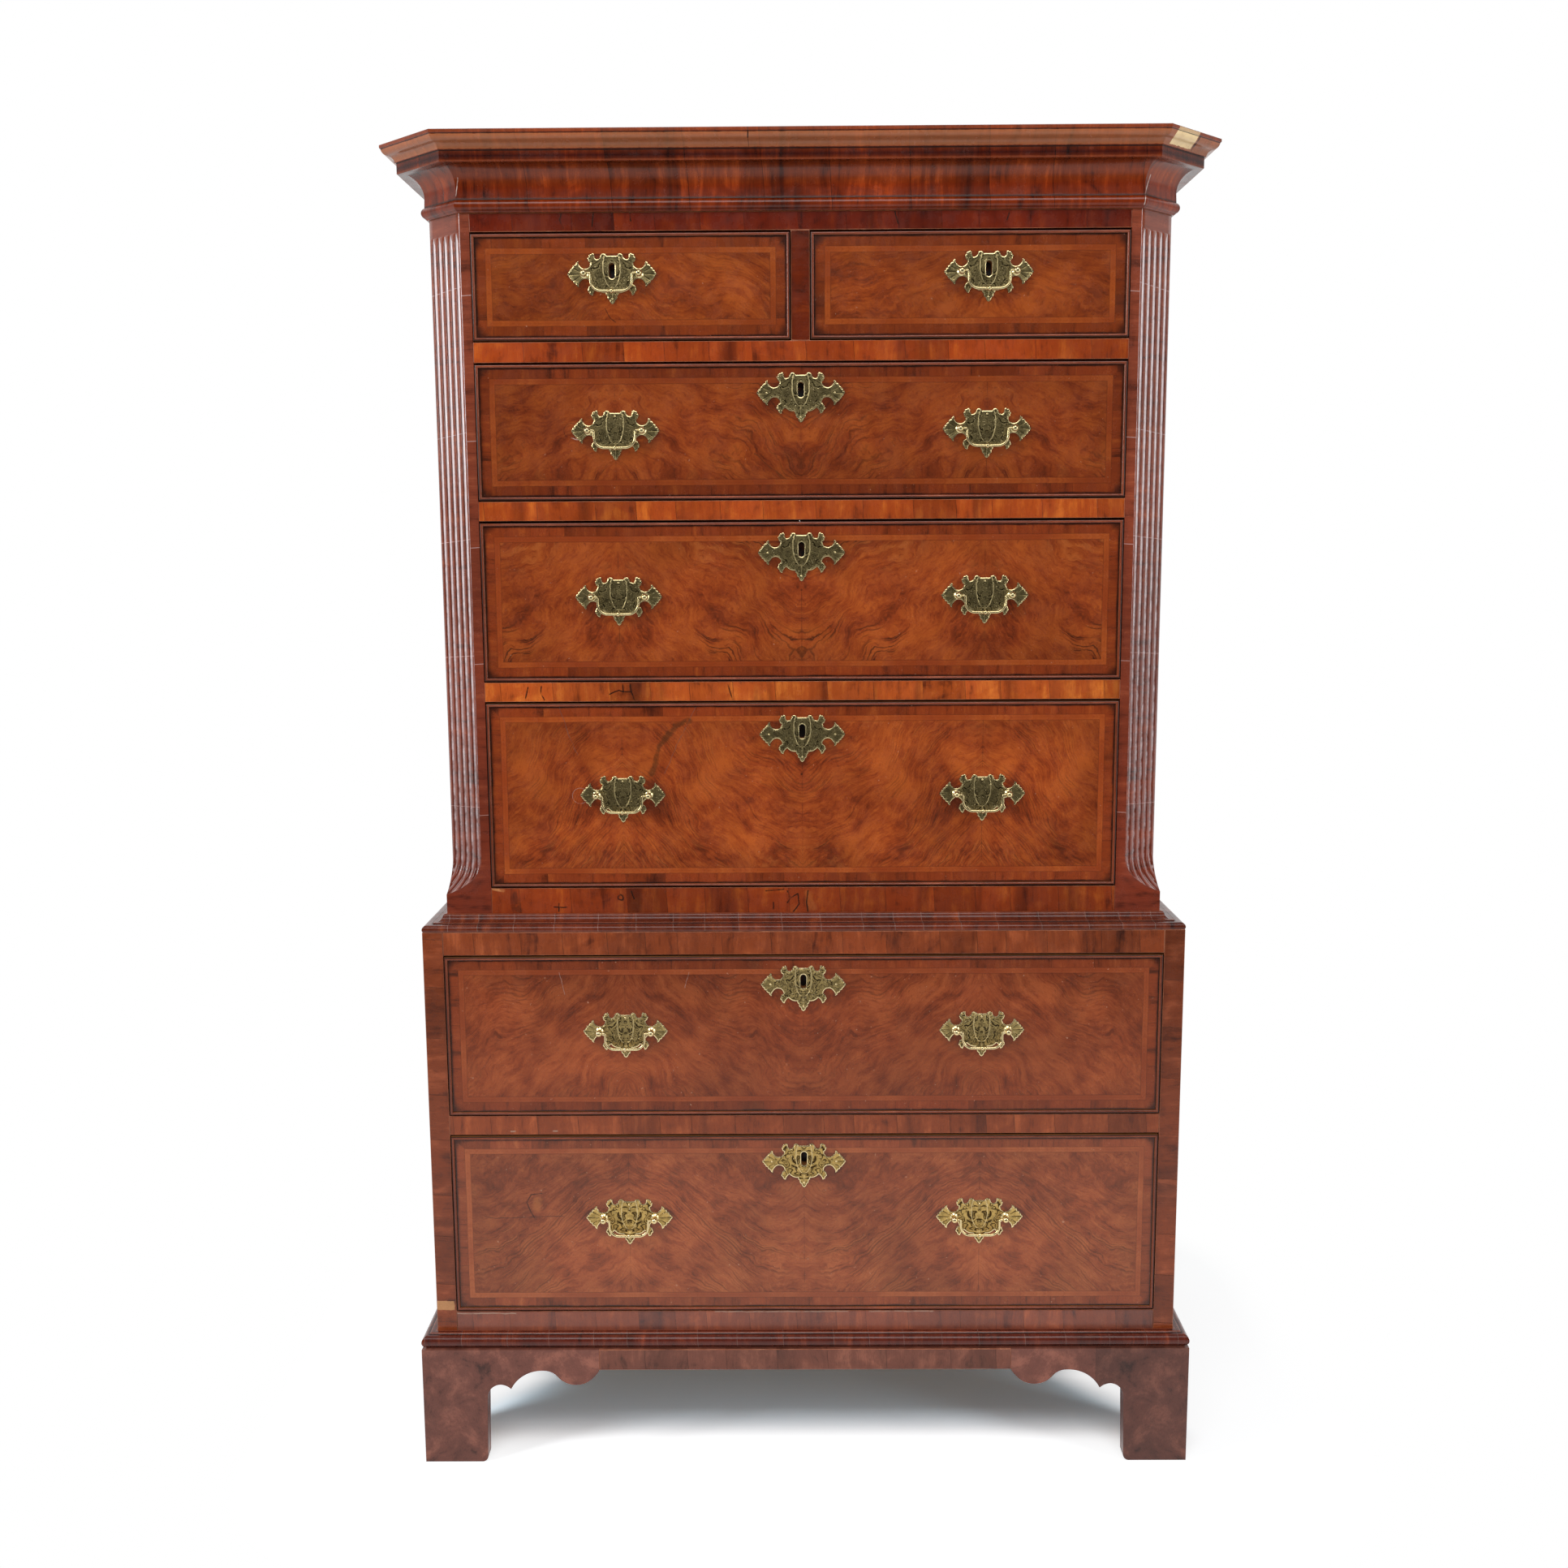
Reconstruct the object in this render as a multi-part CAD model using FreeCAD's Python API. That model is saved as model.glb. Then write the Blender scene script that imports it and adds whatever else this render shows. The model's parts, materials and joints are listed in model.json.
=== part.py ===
import FreeCAD, Part
import math
import os

# Chest on chest: a wide two-drawer base on bracket feet, and a narrower upper case with
# fluted canted corners, three long and two small drawers and a deep cornice.
# Millimetres.  While it is drawn, X runs across the front, Y runs back from the front
# plane of the lower case, and Z runs up from the floor.  Every part is then moved by
# TO_ORIGIN, so that the origin lies on the floor under the middle of the whole chest.

V = FreeCAD.Vector

# ---------------------------------------------------------------- driving dimensions
CASE_DEPTH = 545.0          # front plane of the lower case to the back of both cases
PLANK = 20.0                # carcase boards
THIN_PLANK = 12.0           # dustboards and back boards
RAIL_DEEP = 70.0            # front rails, from front to back
SHRINK_GAP = 1.0            # between two back boards

# lower case
LOWER_HALF = 510.0          # half the width over its sides
LOWER_STILE = 27.5          # stile face beside the drawers
LOWER_STILE_DEEP = 20.0
CASE_BOTTOM = 166.0         # underside of the lower case, top of the feet
LOWER_TOP = 752.0
LOWER_OPENINGS = ((496.0, 720.3), (213.6, 469.0))

# base: moulding, bracket feet and apron
FOOT_REACH = 19.0           # feet and base moulding stand this far out from the case
FOOT_THICK = 22.0
FOOT_WIDE = 245.0           # bracket, from its outer corner to the apron
APRON_BOTTOM = 136.0
BASE_TOP = 186.0
BACK_BRACKET_WIDE = 127.0
BLOCK = 45.0                # square corner blocks behind the feet
BLOCK_LIFT = 2.0            # they stop short of the floor

# upper case
UPPER_SET_BACK = 28.0       # its front plane lies behind the lower one
UPPER_HALF = 481.0
CANT = 48.0                 # the canted corner takes this much off the front and the side
UPPER_STILE = 12.5          # plain strip between cant and drawers
UPPER_TOP = 1681.0
UPPER_OPENINGS = ((1521.7, 1657.8), (1320.2, 1495.9), (1084.3, 1294.9), (806.5, 1058.4))
DIVIDER = 24.0              # upright between the two small drawers
WAIST_TOP = 772.0           # top of the waist moulding

# fluting of the canted corners
FLUTES = 5
FLUTE_PITCH = 13.05
FLUTE_RADIUS = 3.2
FLUTE_TIP = 1658.0          # pointed upper end of the flutes
FLUTE_POINT = 10.0          # length of the point
TONGUE_TOP = 845.0          # the cant starts to sweep out here
TONGUE_CURVE = 46.0         # radius of the first part of the sweep
TONGUE_FLARE = 58.0         # degrees of the sweep that the flutes follow

CORNICE_TOP = 1770.0
CORNICE_REACH = 56.0        # rim of the cornice, out from the upper case
CORNICE_BOARD_TOP = 1756.0  # dust boards lie a little below the rim

# drawers
GAP_ABOVE = 2.2
GAP_BELOW = 1.6
GAP_SIDE = 1.2
FRONT_THICK = 22.0
FACE_SET = 0.5              # veneered face behind the case front
BEAD = 4.2                  # cock bead width
BEAD_PROUD = 2.8
BEAD_DEEP = 7.0             # rebate for the bead, from the case front
BOX_SIDE = 10.0
BOX_BACK = 9.0
BOX_BOTTOM = 6.5
BOTTOM_UP = 8.0             # drawer bottom above the lower edge of the sides
BOX_LIFT = 0.4              # running gap under the sides
BOX_END = 525.0             # back of every drawer
SIDE_DROP = 5.0             # sides lie below the top edge of the front
BACK_DROP = 12.0
TAIL_LONG = 13.0            # dovetails into the front
TAIL_PITCH = 42.0
TAIL_SLOPE = 2.6
STOP = (36.0, 18.0, 5.0)    # drawer stop, X Y Z
STOP_GAP = 0.5
GUIDE_HIGH = 28.0
GUIDE_GAP = 1.0

# brasses, all measured from the pivot line of the posts
PLATE_THICK = 1.6
PLATE_HALF_WIDE = 57.0
BAIL_BORE = 70.0            # centre to centre of the posts
POST_OUT = 12.5             # pivot line in front of the veneered face
POST_BALL = 4.5
POST_NECK = 3.0
COLLAR = (5.2, 1.6)         # radius and height at the foot of a post
SHANK = 2.2
SHANK_HOLE = 2.6
NUT = (5.5, 3.0)            # radius and height
PIVOT = 1.5
PIVOT_HOLE = 1.55
PIVOT_INTO = 34.0           # the pivot ends this far from the middle of the bail
PIVOT_BLIND = 34.6
BAIL_HALF = 28.2            # middle of a bail arm
BAIL_DROP = 22.0
BAIL_BEND = 14.0
BAIL_ROD = 1.6
BAIL_ELBOW = 2.0            # bend where the arm turns out into the pivot
KEYHOLE = (7.6, 19.0, 4.0)  # width, height, centre above the pivot line

# drawer locks
LOCK_HALF = 30.0
LOCK_THICK = 9.0
LOCK_BELOW_KEY = 18.0
BOLT = (24.0, 5.0, 16.0)    # X Y Z
BOLT_SET = 0.3              # thrown back, the bolt lies this far below the lock plate
BOLT_FIT = 0.3
MORTISE = (27.0, 8.0, 8.5)

# handles: height of the pivot line, and of the escutcheon's middle line, per drawer
HANDLE_X = 240.0
SMALL_PIVOT_Z = 1605.0
UPPER_BRASS_Z = ((1409.5, 1456.0), (1196.0, 1252.5), (933.0, 1013.5))
LOWER_BRASS_Z = ((615.0, 679.0), (350.0, 430.0))
LOWEST_PLATE_SCALE = 1.04

TO_ORIGIN = V(0, -(CASE_DEPTH + UPPER_SET_BACK - CORNICE_REACH) / 2, 0)

# Outlines are lists of (a, b, sag): a corner, and the rise of the arc that runs from it to
# the next corner.  A sag of 0 is a straight edge, and a positive one bulges to the left of
# the way the outline runs.

CORNICE = (
    (0, 1681, 0), (3, 1681, 0), (5, 1683, -4.6), (5.5, 1696, 0), (5, 1708, 5.2),
    (24, 1735.5, 0), (36.5, 1735.5, 0), (36.5, 1749.5, 0), (39, 1749.5, 2.6),
    (46, 1758.5, -1.9), (54.5, 1764.5, 0), (CORNICE_REACH, 1766, 0), (CORNICE_REACH, CORNICE_TOP, 0),
    (0, CORNICE_TOP, 0))

WAIST = (
    (0, LOWER_TOP, 0), (27.5, LOWER_TOP, -3.4), (23.5, 761.2, 0), (16.5, 761.2, 0),
    (16.5, 762.8, 0), (14.5, 762.8, 2.0), (5.5, 768, -0.7), (2.5, WAIST_TOP, 0),
    (0, WAIST_TOP, 0))

BASE = (
    (0, CASE_BOTTOM, 0), (14, CASE_BOTTOM, 0), (14, 168, 0), (13.5, 168, -5.5),
    (13.5, 184, 0), (10, 184, 0), (8.5, BASE_TOP, 0), (0, BASE_TOP, 0))

# bracket foot: distance from its outer corner, height
BRACKET = (
    (0, 0, 0), (79, 0, -2.34), (87, 8, 0), (89, 97, 4.6), (107, 114.6, 1.6), (122, 108, 8.0),
    (168, 135, 2.4), (187, 126, -7.0), (226, 117, -2.2), (FOOT_WIDE, APRON_BOTTOM, 0),
    (FOOT_WIDE, CASE_BOTTOM, 0), (0, CASE_BOTTOM, 0))

BACK_BRACKET = (
    (0, 0, 0), (64, 0, 0), (66, 70, 14.0), (BACK_BRACKET_WIDE, 128, 0),
    (BACK_BRACKET_WIDE, CASE_BOTTOM, 0), (0, CASE_BOTTOM, 0))

# turned grip of a bail, from its left end to its right one: distance from the middle, radius
GRIP = (
    (BAIL_BEND - BAIL_HALF, 0, 0), (BAIL_BEND - BAIL_HALF, BAIL_ROD, 0), (-6.6, BAIL_ROD, 0.9),
    (-2.8, 2.0, 1.5), (2.8, 2.0, 0.9), (6.6, BAIL_ROD, 0), (BAIL_HALF - BAIL_BEND, BAIL_ROD, 0),
    (BAIL_HALF - BAIL_BEND, 0, 0))

# right half of the bat-wing plate, from the middle of its top edge to the lower tip
PLATE_HALF = (
    (0, 23.2, 0), (8.6, 23.2, 2.4), (19.6, 18.4, -1.3), (24.0, 25.8, 1.2), (28.4, 23.8, 0.9),
    (30.8, 19.8, 0.9), (27.4, 14.2, -5.0), (40.2, 9.8, -0.8), (42.4, 16.0, 0.8),
    (46.6, 11.6, 0.8), (50.6, 7.0, 0.8), (54.0, 3.0, 0.5), (PLATE_HALF_WIDE, 0, 0.5),
    (54.0, -3.0, 0.8), (50.6, -6.8, 0.8), (46.6, -11.2, 0.8), (42.4, -16.0, -0.8),
    (40.2, -9.4, -5.4), (26.8, -12.6, 0.9), (30.6, -18.2, 1.0), (28.4, -23.4, 1.0),
    (23.8, -27.0, -0.8), (20.0, -18.4, 1.6), (8.4, -23.4, 0.6), (5.2, -30.0, 1.3),
    (0, -37.2, 0))


# ---------------------------------------------------------------- shape helpers
def box(x0, x1, y0, y1, z0, z1):
    """A block between two corners."""
    return Part.makeBox(x1 - x0, y1 - y0, z1 - z0, V(x0, y0, z0))


def both_sides(shape):
    """The shape and its mirror image across the middle plane."""
    return [shape, shape.mirror(V(0, 0, 0), V(1, 0, 0))]


def outline_face(outline, place):
    """A flat face inside an outline; place turns (a, b) into a point in space."""
    edges = []
    for i, (a, b, sag) in enumerate(outline):
        c, d, _ = outline[(i + 1) % len(outline)]
        start, end = place(a, b), place(c, d)
        if sag == 0:
            edges.append(Part.LineSegment(start, end).toShape())
            continue
        length = math.hypot(c - a, d - b)
        middle = place((a + c) / 2 - (d - b) / length * sag, (b + d) / 2 + (c - a) / length * sag)
        edges.append(Part.Arc(start, middle, end).toShape())
    return Part.Face(Part.Wire(edges))


def slab(outline, place, thickness):
    """An outline given a thickness, as a vector."""
    return outline_face(outline, place).extrude(thickness)


def polygon(points, z0, z1):
    """An upright prism on a plan polygon."""
    corners = [V(x, y, z0) for x, y in points]
    return Part.Face(Part.makePolygon(corners + corners[:1])).extrude(V(0, 0, z1 - z0))


def rod(start, end, radius):
    """A round bar between two points."""
    return Part.makeCylinder(radius, (end - start).Length, start, end - start)


def mitred_run(outline, plan):
    """A moulding carried round a plan path, one solid for each straight leg.

    The outline gives (distance out from the path, height).  The path runs so that the
    outside lies on its right, and neighbouring legs meet at a mitre.
    """
    points = [V(x, y, 0) for x, y in plan]
    ways = [(b - a).normalize() for a, b in zip(points, points[1:])]
    outs = [V(way.y, -way.x, 0) for way in ways]
    mitres = [outs[0]]
    for one, two in zip(outs, outs[1:]):
        mitres.append((one + two) * (1 / (1 + one.dot(two))))
    mitres.append(outs[-1])
    reach = max(a for a, _, _ in outline) + 1
    low = min(b for _, b, _ in outline) - 1
    high = max(b for _, b, _ in outline) + 1
    legs = []
    for i, out in enumerate(outs):
        a, b, spare = points[i], points[i + 1], ways[i] * (reach + 1)
        start = a - spare
        bar = slab(outline, lambda p, z: start + out * p + V(0, 0, z), b - a + spare * 2)
        corners = [a - mitres[i], a + mitres[i] * reach, b + mitres[i + 1] * reach, b - mitres[i + 1]]
        legs.append(bar.common(polygon([(c.x, c.y) for c in corners], low, high)))
    return legs


# ---------------------------------------------------------------- the two cases
def lower_case():
    """Boards, stiles and rails of the lower case."""
    inside = LOWER_HALF - PLANK
    opening = LOWER_HALF - LOWER_STILE
    back = CASE_DEPTH - THIN_PLANK
    side = box(inside, LOWER_HALF, LOWER_STILE_DEEP, CASE_DEPTH, CASE_BOTTOM, LOWER_TOP)
    stile = box(opening, LOWER_HALF, 0, LOWER_STILE_DEEP, CASE_BOTTOM, LOWER_TOP)
    floor = LOWER_OPENINGS[-1][0]
    boards = [box(-inside, inside, RAIL_DEEP, back, top - PLANK, top) for top in (floor, LOWER_TOP)]
    rails = front_rails(LOWER_OPENINGS, CASE_BOTTOM, LOWER_TOP, opening, 0, (0,))
    return {
        "lower_sides": both_sides(side),
        "lower_stiles": both_sides(stile),
        "lower_top_and_bottom": boards,
        "lower_rails": rails,
        "lower_back_boards": back_boards(inside, CASE_BOTTOM, LOWER_TOP, 4),
    }


def front_rails(openings, low, high, half, front, first_locks):
    """Rails above, between and below the drawers, with a mortise over each lock."""
    tops = [high] + [opening[0] for opening in openings]
    bottoms = [opening[1] for opening in openings] + [low]
    rails = []
    for i, (bottom, top) in enumerate(zip(bottoms, tops)):
        rail = box(-half, half, front, front + RAIL_DEEP, bottom, top)
        if i < len(openings):
            middle = front + FRONT_THICK - LOCK_THICK / 2
            wide, deep, tall = MORTISE
            for x in (first_locks if i == 0 else (0,)):
                rail = rail.cut(box(x - wide / 2, x + wide / 2, middle - deep / 2,
                                    middle + deep / 2, bottom - 1, bottom + tall))
        rails.append(rail)
    return rails


def back_boards(half, low, high, count):
    """Upright boards nailed to the back, with a shrinkage gap between them."""
    pitch = (2 * half + SHRINK_GAP) / count
    back = CASE_DEPTH - THIN_PLANK
    return [box(-half + i * pitch, -half + (i + 1) * pitch - SHRINK_GAP, back, CASE_DEPTH, low, high)
            for i in range(count)]


def upper_case():
    """Boards, corners and rails of the upper case, which stands on the lower one."""
    inside = UPPER_HALF - PLANK
    opening = UPPER_HALF - CANT - UPPER_STILE
    front = UPPER_SET_BACK
    back = CASE_DEPTH - THIN_PLANK
    side = box(inside, UPPER_HALF, front + CANT, CASE_DEPTH, LOWER_TOP, UPPER_TOP)
    floor = UPPER_OPENINGS[-1][0]
    boards = [box(-inside, inside, front + RAIL_DEEP, back, top - PLANK, top)
              for top in (floor, UPPER_TOP)]
    rails = front_rails(UPPER_OPENINGS, LOWER_TOP, UPPER_TOP, opening, front, (-HANDLE_X, HANDLE_X))
    low, high = UPPER_OPENINGS[0]
    divider = [box(-DIVIDER / 2, DIVIDER / 2, front, front + RAIL_DEEP, low, high),
               box(1 - DIVIDER / 2, DIVIDER / 2 - 1, front + RAIL_DEEP, back, low, high)]
    return {
        "upper_sides": both_sides(side),
        "upper_top_and_bottom": boards,
        "upper_rails": rails,
        "upper_back_boards": back_boards(inside, LOWER_TOP, UPPER_TOP, 4),
        "canted_corners": both_sides(canted_corner()),
        "drawer_divider": divider,
    }


def canted_corner():
    """The right-hand corner post: canted, fluted, and swept out to a square foot."""
    front, inner = UPPER_SET_BACK, UPPER_HALF - CANT - UPPER_STILE
    post = polygon([(inner, front), (UPPER_HALF, front), (UPPER_HALF, front + CANT),
                    (UPPER_HALF - PLANK, front + CANT), (inner, front + LOWER_STILE_DEEP)],
                   LOWER_TOP, UPPER_TOP)
    middle = V(UPPER_HALF - CANT / 2, front + CANT / 2, 0)
    along = V(1, 1, 0).normalize()
    out = V(1, -1, 0).normalize()
    corner = CANT / math.sqrt(2)
    sweep = ((0, TONGUE_TOP, -2.52), (9.8, TONGUE_TOP - 28.4, -1.81), (corner, TONGUE_TOP - 47, 0),
             (2 * corner, TONGUE_TOP - 47, 0), (2 * corner, UPPER_TOP + 1, 0), (0, UPPER_TOP + 1, 0))
    cutters = [slab(sweep, lambda d, z: middle + out * d - along * CANT + V(0, 0, z), along * CANT * 2)]
    for i in range(FLUTES):
        foot = middle + along * ((i - (FLUTES - 1) / 2) * FLUTE_PITCH) + V(0, 0, TONGUE_TOP)
        point = foot + V(0, 0, FLUTE_TIP - FLUTE_POINT - TONGUE_TOP)
        ring = Part.Face(Part.Wire(Part.makeCircle(FLUTE_RADIUS, foot, V(0, 0, 1))))
        flare = ring.revolve(foot + out * TONGUE_CURVE, along * -1, TONGUE_FLARE)
        tip = Part.makeCone(FLUTE_RADIUS, 0, FLUTE_POINT, point)
        cutters.append(rod(foot, point, FLUTE_RADIUS).fuse([flare, tip]))
    return post.cut(cutters)


def inside_fittings():
    """Dustboards, drawer guides and drawer stops of both cases."""
    dustboards, guides = [], []
    cases = ((LOWER_OPENINGS, LOWER_HALF - PLANK, LOWER_HALF - LOWER_STILE, 0, RAIL_DEEP),
             (UPPER_OPENINGS, UPPER_HALF - PLANK, UPPER_HALF - CANT - UPPER_STILE,
              UPPER_SET_BACK, UPPER_SET_BACK + RAIL_DEEP))
    back = CASE_DEPTH - THIN_PLANK
    for openings, inside, opening, front, start in cases:
        for i, (low, _) in enumerate(openings):
            if i < len(openings) - 1:
                dustboards.append(box(-inside, inside, start, back, low - THIN_PLANK, low))
            guides += both_sides(box(opening + GUIDE_GAP - GAP_SIDE, inside, start + 10, back,
                                     low, low + GUIDE_HIGH))
            wide, deep, tall = STOP
            y = front + FRONT_THICK + STOP_GAP
            guides += both_sides(box(HANDLE_X - wide / 2, HANDLE_X + wide / 2, y, y + deep, low, low + tall))
    return {"dustboards": dustboards, "drawer_guides": guides}


# ---------------------------------------------------------------- base and mouldings
def base():
    """Bracket feet with their blocks, the aprons between them and the base moulding."""
    outer, front, back = LOWER_HALF + FOOT_REACH, -FOOT_REACH, CASE_DEPTH
    inner = outer - FOOT_THICK
    tall = CASE_BOTTOM + 1
    mitre = FOOT_THICK * math.sqrt(2)
    front_cut = polygon([(outer, front), (0, front), (0, front + FOOT_THICK),
                         (outer - FOOT_THICK, front + FOOT_THICK)], -1, tall)
    side_cut = polygon([(outer, front), (inner, front + FOOT_THICK), (inner, back),
                        (outer, back)], -1, tall)
    front_foot = slab(BRACKET, lambda u, z: V(outer - u, front, z), V(0, FOOT_THICK, 0)).common(front_cut)
    side_foot = slab(BRACKET, lambda u, z: V(inner, front + u, z), V(FOOT_THICK, 0, 0)).common(side_cut)
    rear_side = slab(BRACKET, lambda u, z: V(inner, back - u, z), V(FOOT_THICK, 0, 0))
    rear = slab(BACK_BRACKET, lambda u, z: V(inner - u, back - FOOT_THICK, z), V(0, FOOT_THICK, 0))
    feet = []
    for foot in (front_foot, side_foot, rear_side, rear):
        feet += both_sides(foot)
    blocks = []
    for y in (front + FOOT_THICK, back - FOOT_THICK - BLOCK):
        blocks += both_sides(box(inner - BLOCK, inner, y, y + BLOCK, BLOCK_LIFT, CASE_BOTTOM))
    aprons = [box(-outer + FOOT_WIDE, outer - FOOT_WIDE, front, front + FOOT_THICK, APRON_BOTTOM, CASE_BOTTOM)]
    aprons += both_sides(box(inner, outer, front + FOOT_WIDE, back - FOOT_WIDE, APRON_BOTTOM, CASE_BOTTOM))
    return {"bracket_feet": feet, "foot_blocks": blocks, "aprons": aprons}


def three_sides(half, front):
    """Plan path up the left side, across the front and back down the right side."""
    return [(-half, CASE_DEPTH), (-half, front), (half, front), (half, CASE_DEPTH)]


def mouldings():
    """Base, waist and cornice mouldings, and the frame and boards inside the cornice."""
    front, half = UPPER_SET_BACK, UPPER_HALF
    canted = [(-half, CASE_DEPTH), (-half, front + CANT), (CANT - half, front),
              (half - CANT, front), (half, front + CANT), (half, CASE_DEPTH)]
    ends = [half - PLANK, CASE_DEPTH - PLANK]
    frame = both_sides(box(ends[0], half, front + CANT, CASE_DEPTH, UPPER_TOP, CORNICE_TOP))
    frame.append(box(-ends[0], ends[0], ends[1], CASE_DEPTH, UPPER_TOP, CORNICE_TOP))
    frame.append(polygon([(CANT - half, front), (half - CANT, front), (half, front + CANT),
                          (-half, front + CANT)], UPPER_TOP, CORNICE_TOP))
    boards = 3
    pitch = 2 * (ends[0] - 1) / boards
    for i in range(boards):
        x = 1 - ends[0] + i * pitch
        frame.append(box(x, x + pitch - SHRINK_GAP, front + CANT, ends[1],
                         CORNICE_BOARD_TOP - THIN_PLANK, CORNICE_BOARD_TOP))
    return {
        "base_moulding": mitred_run(BASE, three_sides(LOWER_HALF, 0)),
        "waist_moulding": mitred_run(WAIST, three_sides(UPPER_HALF, UPPER_SET_BACK)),
        "cornice_moulding": mitred_run(CORNICE, canted),
        "cornice_frame": frame,
    }


# ---------------------------------------------------------------- drawers
def cock_bead(x0, x1, z0, z1, front):
    """Four mitred strips with a rounded nose, let into the edge of a drawer front."""
    nose = BEAD / 2
    section = ((0, BEAD_DEEP, 0), (0, nose - BEAD_PROUD, nose), (BEAD, nose - BEAD_PROUD, 0),
               (BEAD, BEAD_DEEP, 0))
    spare = V(0, BEAD_DEEP + BEAD_PROUD + 2, 0)
    strips = []
    runs = (((x0, z0), (1, 0), (0, 1), x1 - x0), ((x1, z0), (0, 1), (-1, 0), z1 - z0),
            ((x1, z1), (-1, 0), (0, -1), x1 - x0), ((x0, z1), (0, -1), (1, 0), z1 - z0))
    for (x, z), (tx, tz), (nx, nz), length in runs:
        bar = slab(section, lambda w, y: V(x + nx * w, front + y, z + nz * w), V(tx, 0, tz) * length)
        corners = [V(x, front - BEAD_PROUD - 1, z), V(x + tx * length, front - BEAD_PROUD - 1, z + tz * length)]
        inward = V(nx, 0, nz) * BEAD
        along = V(tx, 0, tz) * BEAD
        corners += [corners[1] + inward - along, corners[0] + inward + along]
        wedge = Part.Face(Part.makePolygon(corners + corners[:1])).extrude(spare)
        strips.append(bar.common(wedge))
    return strips


def tails(low, high, front):
    """Corners of the dovetails at the front end of a drawer side, from low to high."""
    count = max(2, round((high - low) / TAIL_PITCH))
    pitch = (high - low) / count
    root, end = front + FRONT_THICK, front + FRONT_THICK - TAIL_LONG
    shapes = []
    for i in range(count):
        middle = low + (i + 0.5) * pitch
        half = pitch * 0.34
        shapes.append([(root, middle - half + TAIL_SLOPE), (end, middle - half),
                       (end, middle + half), (root, middle + half - TAIL_SLOPE)])
    return shapes


def drawer(opening, front, lock_x, keyhole_z, post_points):
    """The front and the box of one drawer, and its lock case and lock bolt.

    opening is (x0, x1, z0, z1), and post_points are the places of the handle posts.
    """
    x0, x1 = opening[0] + GAP_SIDE, opening[1] - GAP_SIDE
    z0, z1 = opening[2] + GAP_BELOW, opening[3] - GAP_ABOVE
    root = front + FRONT_THICK
    side_low, side_high = opening[2] + BOX_LIFT, z1 - SIDE_DROP
    dovetails = tails(z0 + 4, side_high - 3, front)

    core = box(x0, x1, front + BEAD_DEEP, root, z0, z1)
    core = core.fuse(box(x0 + BEAD, x1 - BEAD, front + FACE_SET, front + BEAD_DEEP, z0 + BEAD, z1 - BEAD))
    lock_low = keyhole_z - LOCK_BELOW_KEY
    cutters = [box(lock_x - LOCK_HALF, lock_x + LOCK_HALF, root - LOCK_THICK, root, lock_low, z1)]
    cutters.append(keyhole(lock_x, keyhole_z, front, root))
    for x in (x0, x1 - BOX_SIDE):
        for corners in dovetails:
            points = [V(x, y, z) for y, z in corners]
            cutters.append(Part.Face(Part.makePolygon(points + points[:1])).extrude(V(BOX_SIDE, 0, 0)))
    for x, z in post_points:
        cutters.append(rod(V(x, front, z), V(x, root, z), SHANK_HOLE))
    core = core.cut(cutters).removeSplitter()

    outline = [(BOX_END, side_low), (root, side_low)]
    for corners in dovetails:
        outline += corners
    outline += [(root, side_high), (BOX_END, side_high)]
    sides = []
    for x in (x0, x1 - BOX_SIDE):
        points = [V(x, y, z) for y, z in outline]
        sides.append(Part.Face(Part.makePolygon(points + points[:1])).extrude(V(BOX_SIDE, 0, 0)))
    left, right = x0 + BOX_SIDE, x1 - BOX_SIDE
    bottom = side_low + BOTTOM_UP
    floor = box(left, right, root, BOX_END, bottom, bottom + BOX_BOTTOM)
    back = box(left, right, BOX_END - BOX_BACK, BOX_END, bottom + BOX_BOTTOM, side_high - BACK_DROP)

    middle = root - LOCK_THICK / 2
    wide, deep, tall = BOLT
    lock = box(lock_x - LOCK_HALF, lock_x + LOCK_HALF, root - LOCK_THICK, root, lock_low, z1)
    lock = lock.cut(box(lock_x - wide / 2 - BOLT_FIT, lock_x + wide / 2 + BOLT_FIT,
                        middle - deep / 2 - BOLT_FIT, middle + deep / 2 + BOLT_FIT,
                        z1 - BOLT_SET - tall - BOLT_FIT, z1 + 1))
    bolt = box(lock_x - wide / 2, lock_x + wide / 2, middle - deep / 2, middle + deep / 2,
               z1 - BOLT_SET - tall, z1 - BOLT_SET)
    return {
        "front": [core] + cock_bead(x0, x1, z0, z1, front),
        "box": sides + [floor, back],
        "brasses": [lock],
        "lock_bolt": [bolt],
    }


# ---------------------------------------------------------------- brasses
def keyhole(x, z, y0, y1):
    """A round-ended slot cutter centred on (x, z) between two depths."""
    wide, tall, _ = KEYHOLE
    r, straight = wide / 2, (tall - wide) / 2
    slot = ((-r, -straight, -r), (r, -straight, 0), (r, straight, -r), (-r, straight, 0))
    return slab(slot, lambda a, b: V(x + a, y0, z + b), V(0, y1 - y0, 0))


def plate(x, z, face, scale, with_keyhole):
    """A bat-wing plate lying on a drawer face."""
    half = [(a * scale, b * scale, sag * scale) for a, b, sag in PLATE_HALF]
    left = []
    for (a, b, _), (_, _, sag) in zip(half[::-1], half[-2::-1]):
        left.append((-a, b, sag))
    outline = half[:-1] + left
    place = lambda a, b: V(x + a, face, z + b)
    shape = slab(outline, place, V(0, -PLATE_THICK, 0))
    if with_keyhole:
        shape = shape.cut(keyhole(x, z + KEYHOLE[2], face - PLATE_THICK - 1, face + 1))
    return shape


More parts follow.
